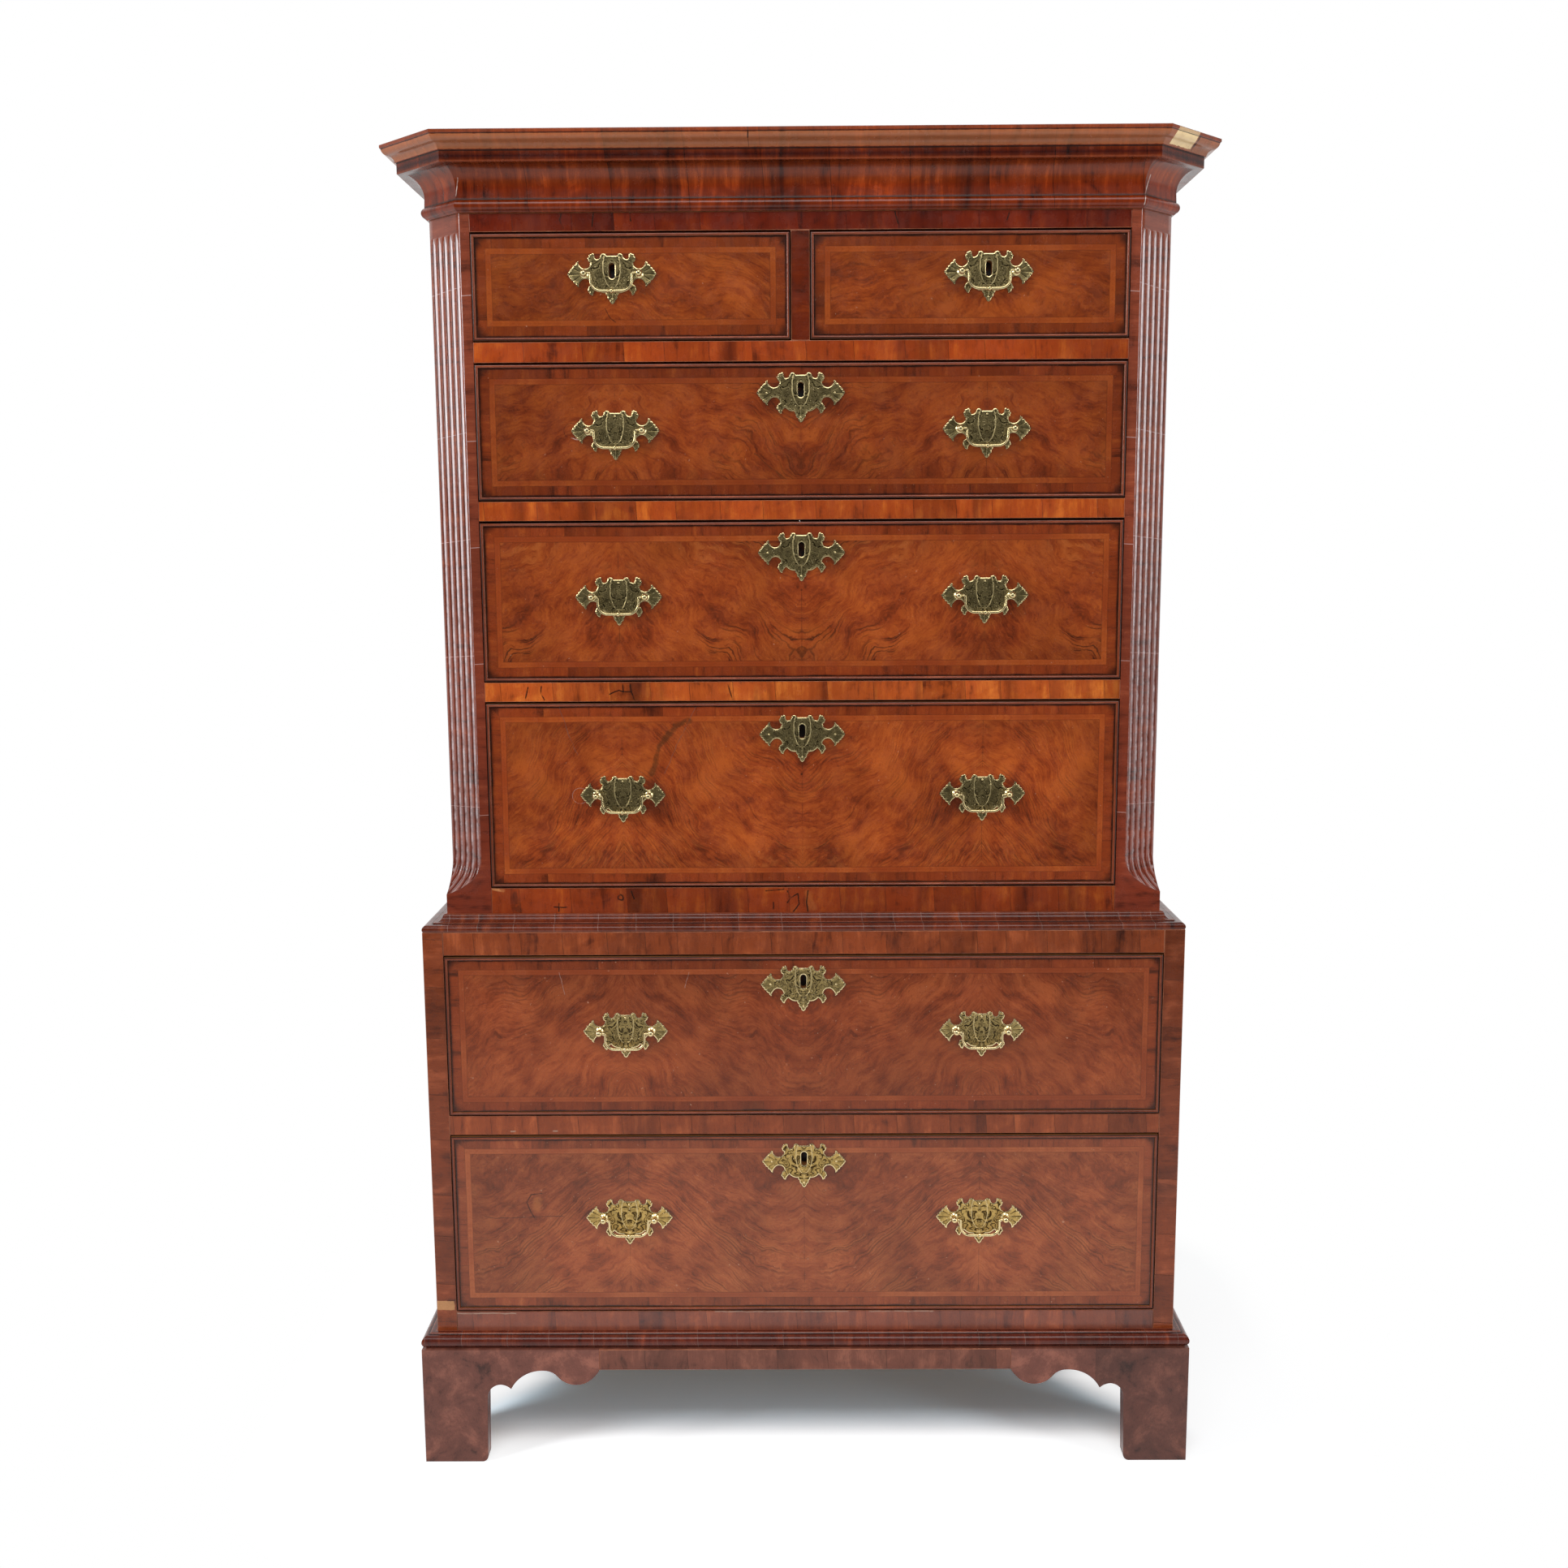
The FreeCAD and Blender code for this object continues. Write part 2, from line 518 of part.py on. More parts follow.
def post(x, z, face, inward):
    """A ball-headed handle post with its collar, shank and nut; inward points to the bail."""
    pivot = V(x, face - POST_OUT, z)
    foot = V(x, face - PLATE_THICK, z)
    radius, height = COLLAR
    shape = rod(foot, pivot, POST_NECK).fuse([
        Part.makeSphere(POST_BALL, pivot),
        Part.makeCone(radius, POST_NECK, height, foot, V(0, -1, 0))])
    deep = PIVOT_BLIND - BAIL_HALF
    mouth = V(x + inward * (BAIL_BORE / 2 - BAIL_HALF), pivot.y, z)
    return shape.cut(rod(mouth, mouth - V(inward * deep, 0, 0), PIVOT_HOLE))


def shank_and_nut(x, z, face, root):
    """The threaded shank that runs through the drawer front, and the nut inside."""
    radius, height = NUT
    return rod(V(x, face, z), V(x, root, z), SHANK).fuse(
        rod(V(x, root, z), V(x, root + height, z), radius))


def bail(x, z, face):
    """A hanging bail: inturned pivots, two arms, a turned grip with a knop in the middle."""
    y = face - POST_OUT
    at = lambda a, b: V(x + a, y, z + b)
    grip = outline_face(GRIP, lambda a, r: at(a, r - BAIL_DROP))
    parts = []
    for side in (-1, 1):
        elbow, bend = at(side * (BAIL_HALF + BAIL_ELBOW), -BAIL_ELBOW), at(side * (BAIL_HALF - BAIL_BEND), 0)
        bend -= V(0, 0, BAIL_DROP - BAIL_BEND)
        top, low = at(side * BAIL_HALF, -BAIL_ELBOW), at(side * BAIL_HALF, BAIL_BEND - BAIL_DROP)
        parts.append(rod(low, top, BAIL_ROD))
        for end, centre, turn in ((top, elbow, side), (low, bend, side)):
            disc = Part.Face(Part.Wire(Part.makeCircle(BAIL_ROD, end, V(0, 0, 1))))
            parts.append(disc.revolve(centre, V(0, turn, 0), 90))
        parts.append(rod(at(side * (BAIL_HALF + BAIL_ELBOW), 0), at(side * PIVOT_INTO, 0), PIVOT))
    return grip.revolve(at(0, -BAIL_DROP), V(1, 0, 0), 360).fuse(parts)


def furnished_drawer(name, opening, front, handles, pivot_z, lock_x, escutcheon_z, scale):
    """All nodes of one drawer; escutcheon_z is None where the handle plate has the keyhole."""
    face = front + FACE_SET
    root = front + FRONT_THICK
    half = BAIL_BORE / 2
    key_line = pivot_z if escutcheon_z is None else escutcheon_z
    posts = [(x + side * half, pivot_z) for x in handles.values() for side in (-1, 1)]
    parts = drawer(opening, front, lock_x, key_line + KEYHOLE[2], posts)
    brasses = parts["brasses"]
    for x in handles.values():
        brasses.append(plate(x, pivot_z, face, scale, escutcheon_z is None))
        for side in (-1, 1):
            brasses.append(post(x + side * half, pivot_z, face, -side))
            brasses.append(shank_and_nut(x + side * half, pivot_z, face, root))
    if escutcheon_z is not None:
        brasses.append(plate(lock_x, escutcheon_z, face, 1.0, True))
    nodes = {f"{name}_{piece}": solids for piece, solids in parts.items()}
    for label, x in handles.items():
        nodes[f"{name}_bail{label}"] = [bail(x, pivot_z, face)]
    return nodes


def drawers():
    """The two small and five long drawers."""
    nodes = {}
    half = UPPER_HALF - CANT - UPPER_STILE
    low, high = UPPER_OPENINGS[0]
    spans = {"left": (-half, -DIVIDER / 2), "right": (DIVIDER / 2, half)}
    for side, x in (("left", -HANDLE_X), ("right", HANDLE_X)):
        opening = spans[side] + (low, high)
        nodes.update(furnished_drawer(f"small_drawer_{side}", opening, UPPER_SET_BACK, {"": x},
                                      SMALL_PIVOT_Z, x, None, 1.0))
    pair = {"_left": -HANDLE_X, "_right": HANDLE_X}
    for i, (pivot, escutcheon) in enumerate(UPPER_BRASS_Z):
        opening = (-half, half) + UPPER_OPENINGS[i + 1]
        nodes.update(furnished_drawer(f"upper_drawer_{i + 1}", opening, UPPER_SET_BACK, pair,
                                      pivot, 0, escutcheon, 1.0))
    half = LOWER_HALF - LOWER_STILE
    for i, (pivot, escutcheon) in enumerate(LOWER_BRASS_Z):
        opening = (-half, half) + LOWER_OPENINGS[i]
        scale = LOWEST_PLATE_SCALE if i == len(LOWER_BRASS_Z) - 1 else 1.0
        nodes.update(furnished_drawer(f"lower_drawer_{i + 1}", opening, 0, pair,
                                      pivot, 0, escutcheon, scale))
    return nodes


def main():
    """Build every node, move it to the part's origin and write it."""
    os.makedirs("parts", exist_ok=True)
    nodes = {**lower_case(), **upper_case(), **inside_fittings(), **base(), **mouldings(), **drawers()}
    for name, solids in nodes.items():
        shape = Part.makeCompound([piece for solid in solids for piece in solid.Solids])
        shape.translate(TO_ORIGIN)
        shape.exportStep(f"parts/{name}.step")
        print(name, len(shape.Solids), "solids, valid:", shape.isValid())
    print(len(nodes), "nodes")


main()
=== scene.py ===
"""Looks of a walnut chest on chest: veneers, mouldings and brasses, and the studio around it.

Metres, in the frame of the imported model: X across the front, Y towards the back and Z up,
with the origin on the floor under the middle of the chest.
"""

import json
import logging
import math
from dataclasses import dataclass, replace
from enum import Enum
from functools import cache
from typing import Callable, Sequence

import bmesh
import bpy
import numpy as np
from mathutils import Matrix, Vector
from mathutils.geometry import delaunay_2d_cdt

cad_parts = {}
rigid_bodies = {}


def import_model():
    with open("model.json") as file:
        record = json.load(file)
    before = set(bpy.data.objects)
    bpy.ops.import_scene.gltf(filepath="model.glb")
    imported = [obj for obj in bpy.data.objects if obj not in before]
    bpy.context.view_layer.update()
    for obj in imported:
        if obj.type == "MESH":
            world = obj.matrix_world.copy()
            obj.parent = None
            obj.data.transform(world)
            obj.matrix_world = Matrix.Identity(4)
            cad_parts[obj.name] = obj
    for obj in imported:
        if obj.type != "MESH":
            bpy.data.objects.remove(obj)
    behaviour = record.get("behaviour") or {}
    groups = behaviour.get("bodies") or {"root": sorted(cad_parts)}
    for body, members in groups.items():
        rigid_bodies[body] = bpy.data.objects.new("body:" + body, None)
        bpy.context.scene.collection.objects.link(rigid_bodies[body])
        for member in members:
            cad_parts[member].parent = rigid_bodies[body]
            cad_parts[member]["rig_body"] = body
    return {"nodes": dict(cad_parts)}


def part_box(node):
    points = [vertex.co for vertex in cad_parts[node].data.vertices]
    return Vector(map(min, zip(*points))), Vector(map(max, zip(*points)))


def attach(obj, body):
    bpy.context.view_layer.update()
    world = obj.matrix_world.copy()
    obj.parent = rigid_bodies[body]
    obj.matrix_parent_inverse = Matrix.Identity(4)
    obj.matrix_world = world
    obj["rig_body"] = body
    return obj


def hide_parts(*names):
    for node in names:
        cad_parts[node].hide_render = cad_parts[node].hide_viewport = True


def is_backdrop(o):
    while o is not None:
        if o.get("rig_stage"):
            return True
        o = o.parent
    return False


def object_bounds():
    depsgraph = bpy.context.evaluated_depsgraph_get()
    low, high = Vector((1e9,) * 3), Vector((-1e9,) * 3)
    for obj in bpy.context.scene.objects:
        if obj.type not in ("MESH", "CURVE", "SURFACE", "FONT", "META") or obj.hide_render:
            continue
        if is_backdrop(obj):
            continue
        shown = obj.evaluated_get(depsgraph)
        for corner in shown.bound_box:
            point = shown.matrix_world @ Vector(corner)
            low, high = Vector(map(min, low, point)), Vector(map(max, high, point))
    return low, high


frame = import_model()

Array = np.ndarray
Corner = tuple[float, float, float]
Placing = Callable[[Array], Array]
Colour = tuple[float, float, float, float]
Tree = bpy.types.NodeTree
Material = bpy.types.Material
Piece = bpy.types.Object
Point = tuple[float, float]

log = logging.getLogger("chest")
MM = 0.001
SHARP = math.radians(32)


# --- places taken from the frame
def low_high(node: str) -> tuple[Array, Array]:
    """The lowest and the highest corner of a CAD node."""
    low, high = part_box(node)
    return np.array(low), np.array(high)


LOWER_FRONT = low_high("lower_stiles")[0][1]
UPPER_FRONT = low_high("upper_rails")[0][1]
LOWER_HALF = low_high("lower_stiles")[1][0]
UPPER_HALF = low_high("upper_sides")[1][0]
BACK = low_high("lower_sides")[1][1]
LOWER_TOP = low_high("lower_stiles")[1][2]
UPPER_TOP = low_high("upper_sides")[1][2]
CANT = 48 * MM
FACE_SET = 0.5 * MM
HANDLE_X = 240 * MM
POST_HALF = 35 * MM
POST_OUT = 12.5 * MM


# --- outlines
def trace(outline: Sequence[Corner], step: float) -> Array:
    """Evenly spaced points round a closed outline of straight and arc edges.

    An arc over a chord 2h with sag s has the radius R = (h² + s²) / 2s.  A point at the angle t
    from its middle lies R sin t along the chord and R cos t - (R - s) to its left.

    Args:
        outline: corners as (a, b, sag of the edge that starts there), in millimetres.
        step: the longest distance between two points, in millimetres.

    Returns:
        An array of (a, b) rows in metres.
    """
    parts = []
    for (a, b, sag), (c, d, _) in zip(outline, list(outline[1:]) + [outline[0]]):
        chord = np.array((c - a, d - b))
        length = np.hypot(*chord)
        way = chord / length
        left = np.array((-way[1], way[0]))
        count = max(1, math.ceil(length * (1 + 2 * abs(sag) / length) / step))
        share = np.arange(count) / count
        if sag == 0:
            along, aside = share * length, np.zeros(count)
        else:
            radius = (length**2 / 4 + sag**2) / (2 * abs(sag))
            half = 2 * math.atan(2 * abs(sag) / length)
            turn = (2 * share - 1) * half
            along = length / 2 + radius * np.sin(turn)
            aside = math.copysign(1, sag) * (radius * np.cos(turn) - radius + abs(sag))
        parts.append(np.array((a, b)) + along[:, None] * way + aside[:, None] * left)
    return np.concatenate(parts) * MM


def blur_round(values: Array, sigma: float) -> Array:
    """A closed row of values smoothed by a Gaussian that is sigma samples wide."""
    waves = np.fft.fftfreq(len(values))
    return np.fft.ifft(np.fft.fft(values) * np.exp(-2 * (math.pi * sigma * waves) ** 2))


@dataclass
class Profile:
    """A closed section with softened corners.

    Attributes:
        points: (a, b) rows; the last one repeats the first.
        wear: +1 on a sharp outer corner, -1 in a sharp inner one, 0 on a flat.
        arc: length along the section up to each point.
    """

    points: Array
    wear: Array
    arc: Array

    @classmethod
    def soften(cls, outline: Sequence[Corner], rounding: float = 0.45) -> "Profile":
        """Rounds the corners of an outline and keeps points where it bends.

        The outline is sampled finely as complex numbers and smoothed by a Gaussian.  Its turning
        per millimetre gives the wear.  Points are then kept at even steps of a cost, which adds
        up the length and the turning.

        Args:
            outline: corners in millimetres, with the solid on the left of the way it runs.
            rounding: width of the Gaussian, in millimetres.

        Returns:
            The softened section.
        """
        fine = 0.12
        raw = trace(outline, fine) @ np.array((1, 1j))
        pace = np.abs(np.diff(raw, append=raw[0])).mean() / MM
        soft = blur_round(raw, rounding / pace)
        step = np.roll(soft, -1) - soft
        turning = np.angle(np.roll(step, -1) / step)
        bend = blur_round(turning, 0.8 / pace).real / pace
        cost = np.abs(step) / (4 * MM) + np.abs(turning) / math.radians(13)
        total = np.concatenate(([0], np.cumsum(cost)))
        length = np.concatenate(([0], np.cumsum(np.abs(step))))
        at = np.linspace(0, total[-1], math.ceil(total[-1]) + 1)

        def pick(values: Array) -> Array:
            return np.interp(at, total, np.append(values, values[0]))

        points = np.stack([pick(soft.real), pick(soft.imag)], -1)
        return cls(points, np.clip(pick(bend) * 2.2, -1, 1), np.interp(at, total, length))


# --- meshes
class Shell:
    """Vertices, faces, pattern coordinates and wear, gathered for one piece."""

    def __init__(self) -> None:
        """Starts an empty shell."""
        self.points: list[Array] = []
        self.uv: list[Array] = []
        self.wear: list[Array] = []
        self.faces: list[list[int]] = []
        self.count = 0

    def add(self, points: Array, faces: Sequence[Sequence[int]], uv: Array | None = None,
            wear: Array | None = None) -> "Shell":
        """Adds vertices and the faces between them.

        Args:
            points: (n, 3) places.
            faces: rows of indices into points.
            uv: (n, 2) pattern coordinates in metres, or None for zeros.
            wear: (n,) values from -1 to 1, or None for zeros.

        Returns:
            The shell itself.
        """
        n = len(points)
        self.points.append(points)
        self.uv.append(np.zeros((n, 2)) if uv is None else uv)
        self.wear.append(np.zeros(n) if wear is None else wear)
        self.faces += [[i + self.count for i in face] for face in faces]
        self.count += n
        return self

    def grid(self, points: Array, uv: Array | None = None, wear: Array | None = None) -> "Shell":
        """Adds a surface over an (n, m) grid of points, with the arguments of add."""
        n, m = points.shape[:2]
        index = np.arange(n * m).reshape(n, m)
        quads = np.stack([index[:-1, :-1], index[1:, :-1], index[1:, 1:], index[:-1, 1:]], -1)
        return self.add(points.reshape(-1, 3), quads.reshape(-1, 4).tolist(), None if uv is None
                        else uv.reshape(-1, 2), None if wear is None else wear.reshape(-1))

    def lid(self, points: Array, uv: Array | None = None) -> "Shell":
        """Closes an opening with one flat face round its rim."""
        return self.add(points, [list(range(len(points)))], uv)

    def piece(self, name: str, materials: Sequence[Material], body: str,
              slot: str) -> Piece:
        """Makes the object, welds its seams and turns its faces outwards.

        Args:
            name: the piece's name.
            materials: its material slots.
            body: the CAD body that it rides on.
            slot: the record's material slot; it is not used.

        Returns:
            The finished object.
        """
        mesh = bpy.data.meshes.new(name)
        mesh.from_pydata(np.concatenate(self.points).tolist(), [], self.faces)
        corner = np.zeros(len(mesh.loops), np.int32)
        mesh.loops.foreach_get("vertex_index", corner)
        layer = mesh.uv_layers.new(name="UVMap")
        layer.data.foreach_set("uv", np.concatenate(self.uv)[corner].astype(np.float32).ravel())
        wear = mesh.attributes.new("wear", "FLOAT", "POINT")
        wear.data.foreach_set("value", np.concatenate(self.wear).astype(np.float32))
        weld(mesh)
        return settle(bpy.data.objects.new(name, mesh), materials, body, slot)


def weld(mesh: bpy.types.Mesh, flatten: bool = False) -> None:
    """Merges doubles, can join level triangles, and turns faces outwards."""
    work = bmesh.new()
    work.from_mesh(mesh)
    bmesh.ops.remove_doubles(work, verts=work.verts, dist=2e-6)
    bmesh.ops.dissolve_degenerate(work, edges=work.edges, dist=1e-7)
    loose = [v for v in work.verts if not v.link_faces]
    bmesh.ops.delete(work, geom=loose, context="VERTS")
    if flatten:
        bmesh.ops.dissolve_limit(
            work, angle_limit=math.radians(1), verts=work.verts, edges=work.edges)
    bmesh.ops.recalc_face_normals(work, faces=work.faces)
    work.to_mesh(mesh)
    work.free()
    mesh.shade_smooth()
    mesh.set_sharp_from_angle(angle=SHARP)


def link(thing: Piece) -> None:
    """Puts an object into the scene."""
    bpy.context.scene.collection.objects.link(thing)


def settle(piece: Piece, materials: Sequence[Material], body: str,
           slot: str) -> Piece:
    """Links a piece into the scene, dresses it and makes it ride."""
    link(piece)
    piece.data.materials.clear()
    for material in materials:
        piece.data.materials.append(material)
    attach(piece, body)
    return piece


def bevel(piece: Piece, width: float, material: int = -1) -> None:
    """Rounds the sharp edges of a piece; the strips may take another material slot."""
    rounding = piece.modifiers.new("softened_edges", "BEVEL")
    rounding.width = width
    rounding.segments = 2
    rounding.limit_method = "ANGLE"
    rounding.angle_limit = math.radians(38)
    rounding.harden_normals = True
    rounding.material = material


def softened(node: str, materials: Sequence[Material], width: float,
             keep: Placing | None = None, name: str = "",
             slot: str = "") -> Piece:
    """A copy of a CAD node with softened edges, which replaces the node.

    Args:
        node: the CAD node.
        materials: the finish of the faces and the finish of the softened edges.
        width: width of the rounding.
        keep: tells from the (n, 3) middles of the faces which of them to keep.
        name: the piece's name, if it isn't the node's with "_softened".
        slot: the material slot, if it isn't the node's own; it is not used.

    Returns:
        The new piece.
    """
    source = frame["nodes"][node]
    mesh = source.data.copy()
    if keep is not None:
        middles = np.zeros((len(mesh.polygons), 3), np.float32)
        mesh.polygons.foreach_get("center", middles.ravel())
        kept = keep(middles)
        work = bmesh.new()
        work.from_mesh(mesh)
        work.faces.ensure_lookup_table()
        away = [work.faces[i] for i in np.flatnonzero(~kept)]
        bmesh.ops.delete(work, geom=away, context="FACES")
        work.to_mesh(mesh)
        work.free()
    weld(mesh, flatten=True)
    piece = bpy.data.objects.new(name or f"{node}_softened", mesh)
    settle(piece, materials, source["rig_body"], slot or source.data.materials[0].name)
    bevel(piece, width, material=1 if len(materials) > 1 else -1)
    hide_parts(node)
    return piece


def mitred_sweep(profile: Profile, plan: Sequence[Point], spacing: float,
                 ripple: float = 0.0) -> tuple[Array, Array, Array]:
    """A section carried along a plan path with mitred corners.

    On a leg from A to B, the point at share t and at distance p out from the path is
    (1 - t)(A + p M) + t (B + p N), where M and N are the mitre directions at the two ends.

    Args:
        profile: section of (distance out, height).
        plan: corners of the path, with the outside on its right.
        spacing: distance between two stations.
        ripple: how far the surface wanders inwards along the path.

    Returns:
        Grids of places, of pattern coordinates (along the path, along the section) and of wear.
    """
    places, patterns = [], []
    corners = np.array(plan, float)
    legs = np.diff(corners, axis=0)
    lengths = np.hypot(legs[:, 0], legs[:, 1])
    ways = legs / lengths[:, None]
    outs = np.stack([ways[:, 1], -ways[:, 0]], -1)
    pairs = outs[:-1] + outs[1:]
    mitres = np.concatenate([outs[:1], pairs / (1 + (outs[:-1] * outs[1:]).sum(1))[:, None], outs[
        -1:]])
    reach, height = profile.points[:, 0], profile.points[:, 1]
    begun = 0.0
    for i, length in enumerate(lengths):
        share = np.linspace(0, 1, max(2, math.ceil(length / spacing) + 1))[:, None, None]
        start = corners[i] + reach[:, None] * mitres[i]
        end = corners[i + 1] + reach[:, None] * mitres[i + 1]
        flat = start * (1 - share) + end * share
        along = begun + ((flat - corners[i]) @ ways[i])
        wander = np.sin(along * 23) + np.sin(along * 41 + 1.3) + 0.6 * np.sin(
            along * 97 + height * 60)
        sunk = ripple * (0.5 + wander / 5.2) * np.clip(reach / (4 * MM), 0, 1)
        flat = flat - sunk[..., None] * outs[i]
        tall = np.broadcast_to(height, along.shape)
        places.append(np.concatenate([flat, tall[..., None]], -1))
        patterns.append(np.stack([along, np.broadcast_to(profile.arc, along.shape)], -1))
        begun += length
    place = np.concatenate(places)
    return place, np.concatenate(patterns), np.broadcast_to(profile.wear, place.shape[:2])


def turned(radii: Array, heights: Array, centre: Array, axis: Array, sides: int = 24) -> Array:
    """A turned surface: each (radius, height) point carried round an axis.

    The point at angle t is centre + height · axis + radius (cos t · one + sin t · two), where
    one and two are at right angles to the axis.
    """
    axis = axis / np.linalg.norm(axis)
    helper = np.array((0.0, 0.0, 1.0)) if abs(axis[2]) < 0.9 else np.array((1.0, 0.0, 0.0))
    one = np.cross(helper, axis)
    one /= np.linalg.norm(one)
    two = np.cross(axis, one)
    angle = np.linspace(0, 2 * math.pi, sides + 1)
    ring = np.cos(angle)[:, None] * one + np.sin(angle)[:, None] * two
    return centre + heights[:, None, None] * axis + radii[:, None, None] * ring


def unfolded_board(outline: Sequence[Corner], fold: Sequence[float],
                   outer: Placing, inner: Placing) -> Shell:
    """A board sawn to an outline, flat or folded round corners.

    The flat outline is filled with triangles that don't cross the fold lines, once for the outer
    face and once for the inner one, and a strip of quads joins their rims.

    Args:
        outline: corners of the unfolded board, (a, b, sag), in millimetres.
        fold: values of a, in metres, at which the board turns a corner.
        outer: turns (n, 2) unfolded points into (n, 3) places on the outer face.
        inner: the same for the inner face.

    Returns:
        The shell of the board.
    """
    rim = trace(outline, 2.0)
    n = len(rim)
    edges = [(i, (i + 1) % n) for i in range(n)] + [(n + 2 * i, n + 2 * i + 1) for i in range(len(
        fold))]
    low, high = rim[:, 1].min() - MM, rim[:, 1].max() + MM
    folds = np.array([(a, b) for a in fold for b in (low, high)]).reshape(-1, 2)
    flat, triangles = filled(np.concatenate([rim, folds]), edges, [rim], 1e-7)
    loop = np.concatenate([rim, rim[:1]])
    shell = Shell().add(outer(flat), triangles, flat).add(inner(flat), triangles, flat)
    return shell.grid(np.stack([outer(loop), inner(loop)]), np.stack([loop, loop]))


def filled(points: Array, edges: Sequence[tuple[int, int]], loops: Sequence[Array],
           near: float) -> tuple[Array, list[list[int]]]:
    """Fills closed loops with triangles.

    Args:
        points: (n, 2) flat points.
        edges: pairs of points that a side of a triangle has to join.
        loops: the closed loops.
        near: distance at which two points count as one.

    Returns:
        The flat points and the triangles.
    """
    flat, _, found, *_ = delaunay_2d_cdt([Vector(p) for p in points.tolist()], edges, [], 0, near)
    flat, found = np.array([tuple(p) for p in flat]), np.array(found)
    return flat, found[inside(flat[found].mean(1), loops)].tolist()


def inside(points: Array, loops: Sequence[Array]) -> Array:
    """Which points lie inside an odd number of closed loops, counting edges to the right."""
    hits = np.zeros(len(points), int)
    for loop in loops:
        a, b = loop, np.roll(loop, -1, axis=0)
        x, y = points[:, 0, None], points[:, 1, None]
        spans = (a[:, 1] > y) != (b[:, 1] > y)
        rise = np.where(b[:, 1] == a[:, 1], 1e-12, b[:, 1] - a[:, 1])
        cross = a[:, 0] + (y - a[:, 1]) * (b[:, 0] - a[:, 0]) / rise
        hits += (spans & (cross > x)).sum(1)
    return hits % 2 == 1


def rim_distance(points: Array, loops: Sequence[Array]) -> Array:
    """Distance from each point to the nearest edge of the closed loops."""
    best = np.full(len(points), np.inf)
    for loop in loops:
        a, way = loop, np.roll(loop, -1, axis=0) - loop
        away = points[:, None] - a
        share = np.clip((away * way).sum(-1) / (way**2).sum(-1), 0, 1)
        best = np.minimum(best, np.hypot(*(away - share[..., None] * way).transpose(2, 0, 1)).min(
            1))
    return best


# --- shader tools
def srgb(code: str) -> Colour:
    """The linear colour of a hex code."""
    values = [int(code[i:i + 2], 16) / 255 for i in (0, 2, 4)]
    red, green, blue = (v / 12.92 if v <= 0.04045 else ((v + 0.055) / 1.055) ** 2.4 for v in values)
    return red, green, blue, 1.0


def arithmetic(operation: str, swapped: bool = False) -> Callable[["Wire", "Value"], "Wire"]:
    """A method that adds a Math node; swapped is for a plain number on the left."""
    return lambda wire, other: wire.graph.math(
        operation, *((other, wire) if swapped else (wire, other)))


@dataclass(frozen=True)
class Wire:
    """What comes out of a node; arithmetic on it adds Math nodes to the graph."""

    graph: "Graph"
    socket: bpy.types.NodeSocket

    __add__ = arithmetic("ADD")
    __sub__, __rsub__ = arithmetic("SUBTRACT"), arithmetic("SUBTRACT", True)
    __mul__, __rmul__ = arithmetic("MULTIPLY"), arithmetic("MULTIPLY", True)
    __truediv__, __rtruediv__ = arithmetic("DIVIDE"), arithmetic("DIVIDE", True)

    def __abs__(self) -> "Wire":
        """The size without the sign."""
        return self.graph.math("ABSOLUTE", self)


Value = float | str | Sequence[float] | Wire


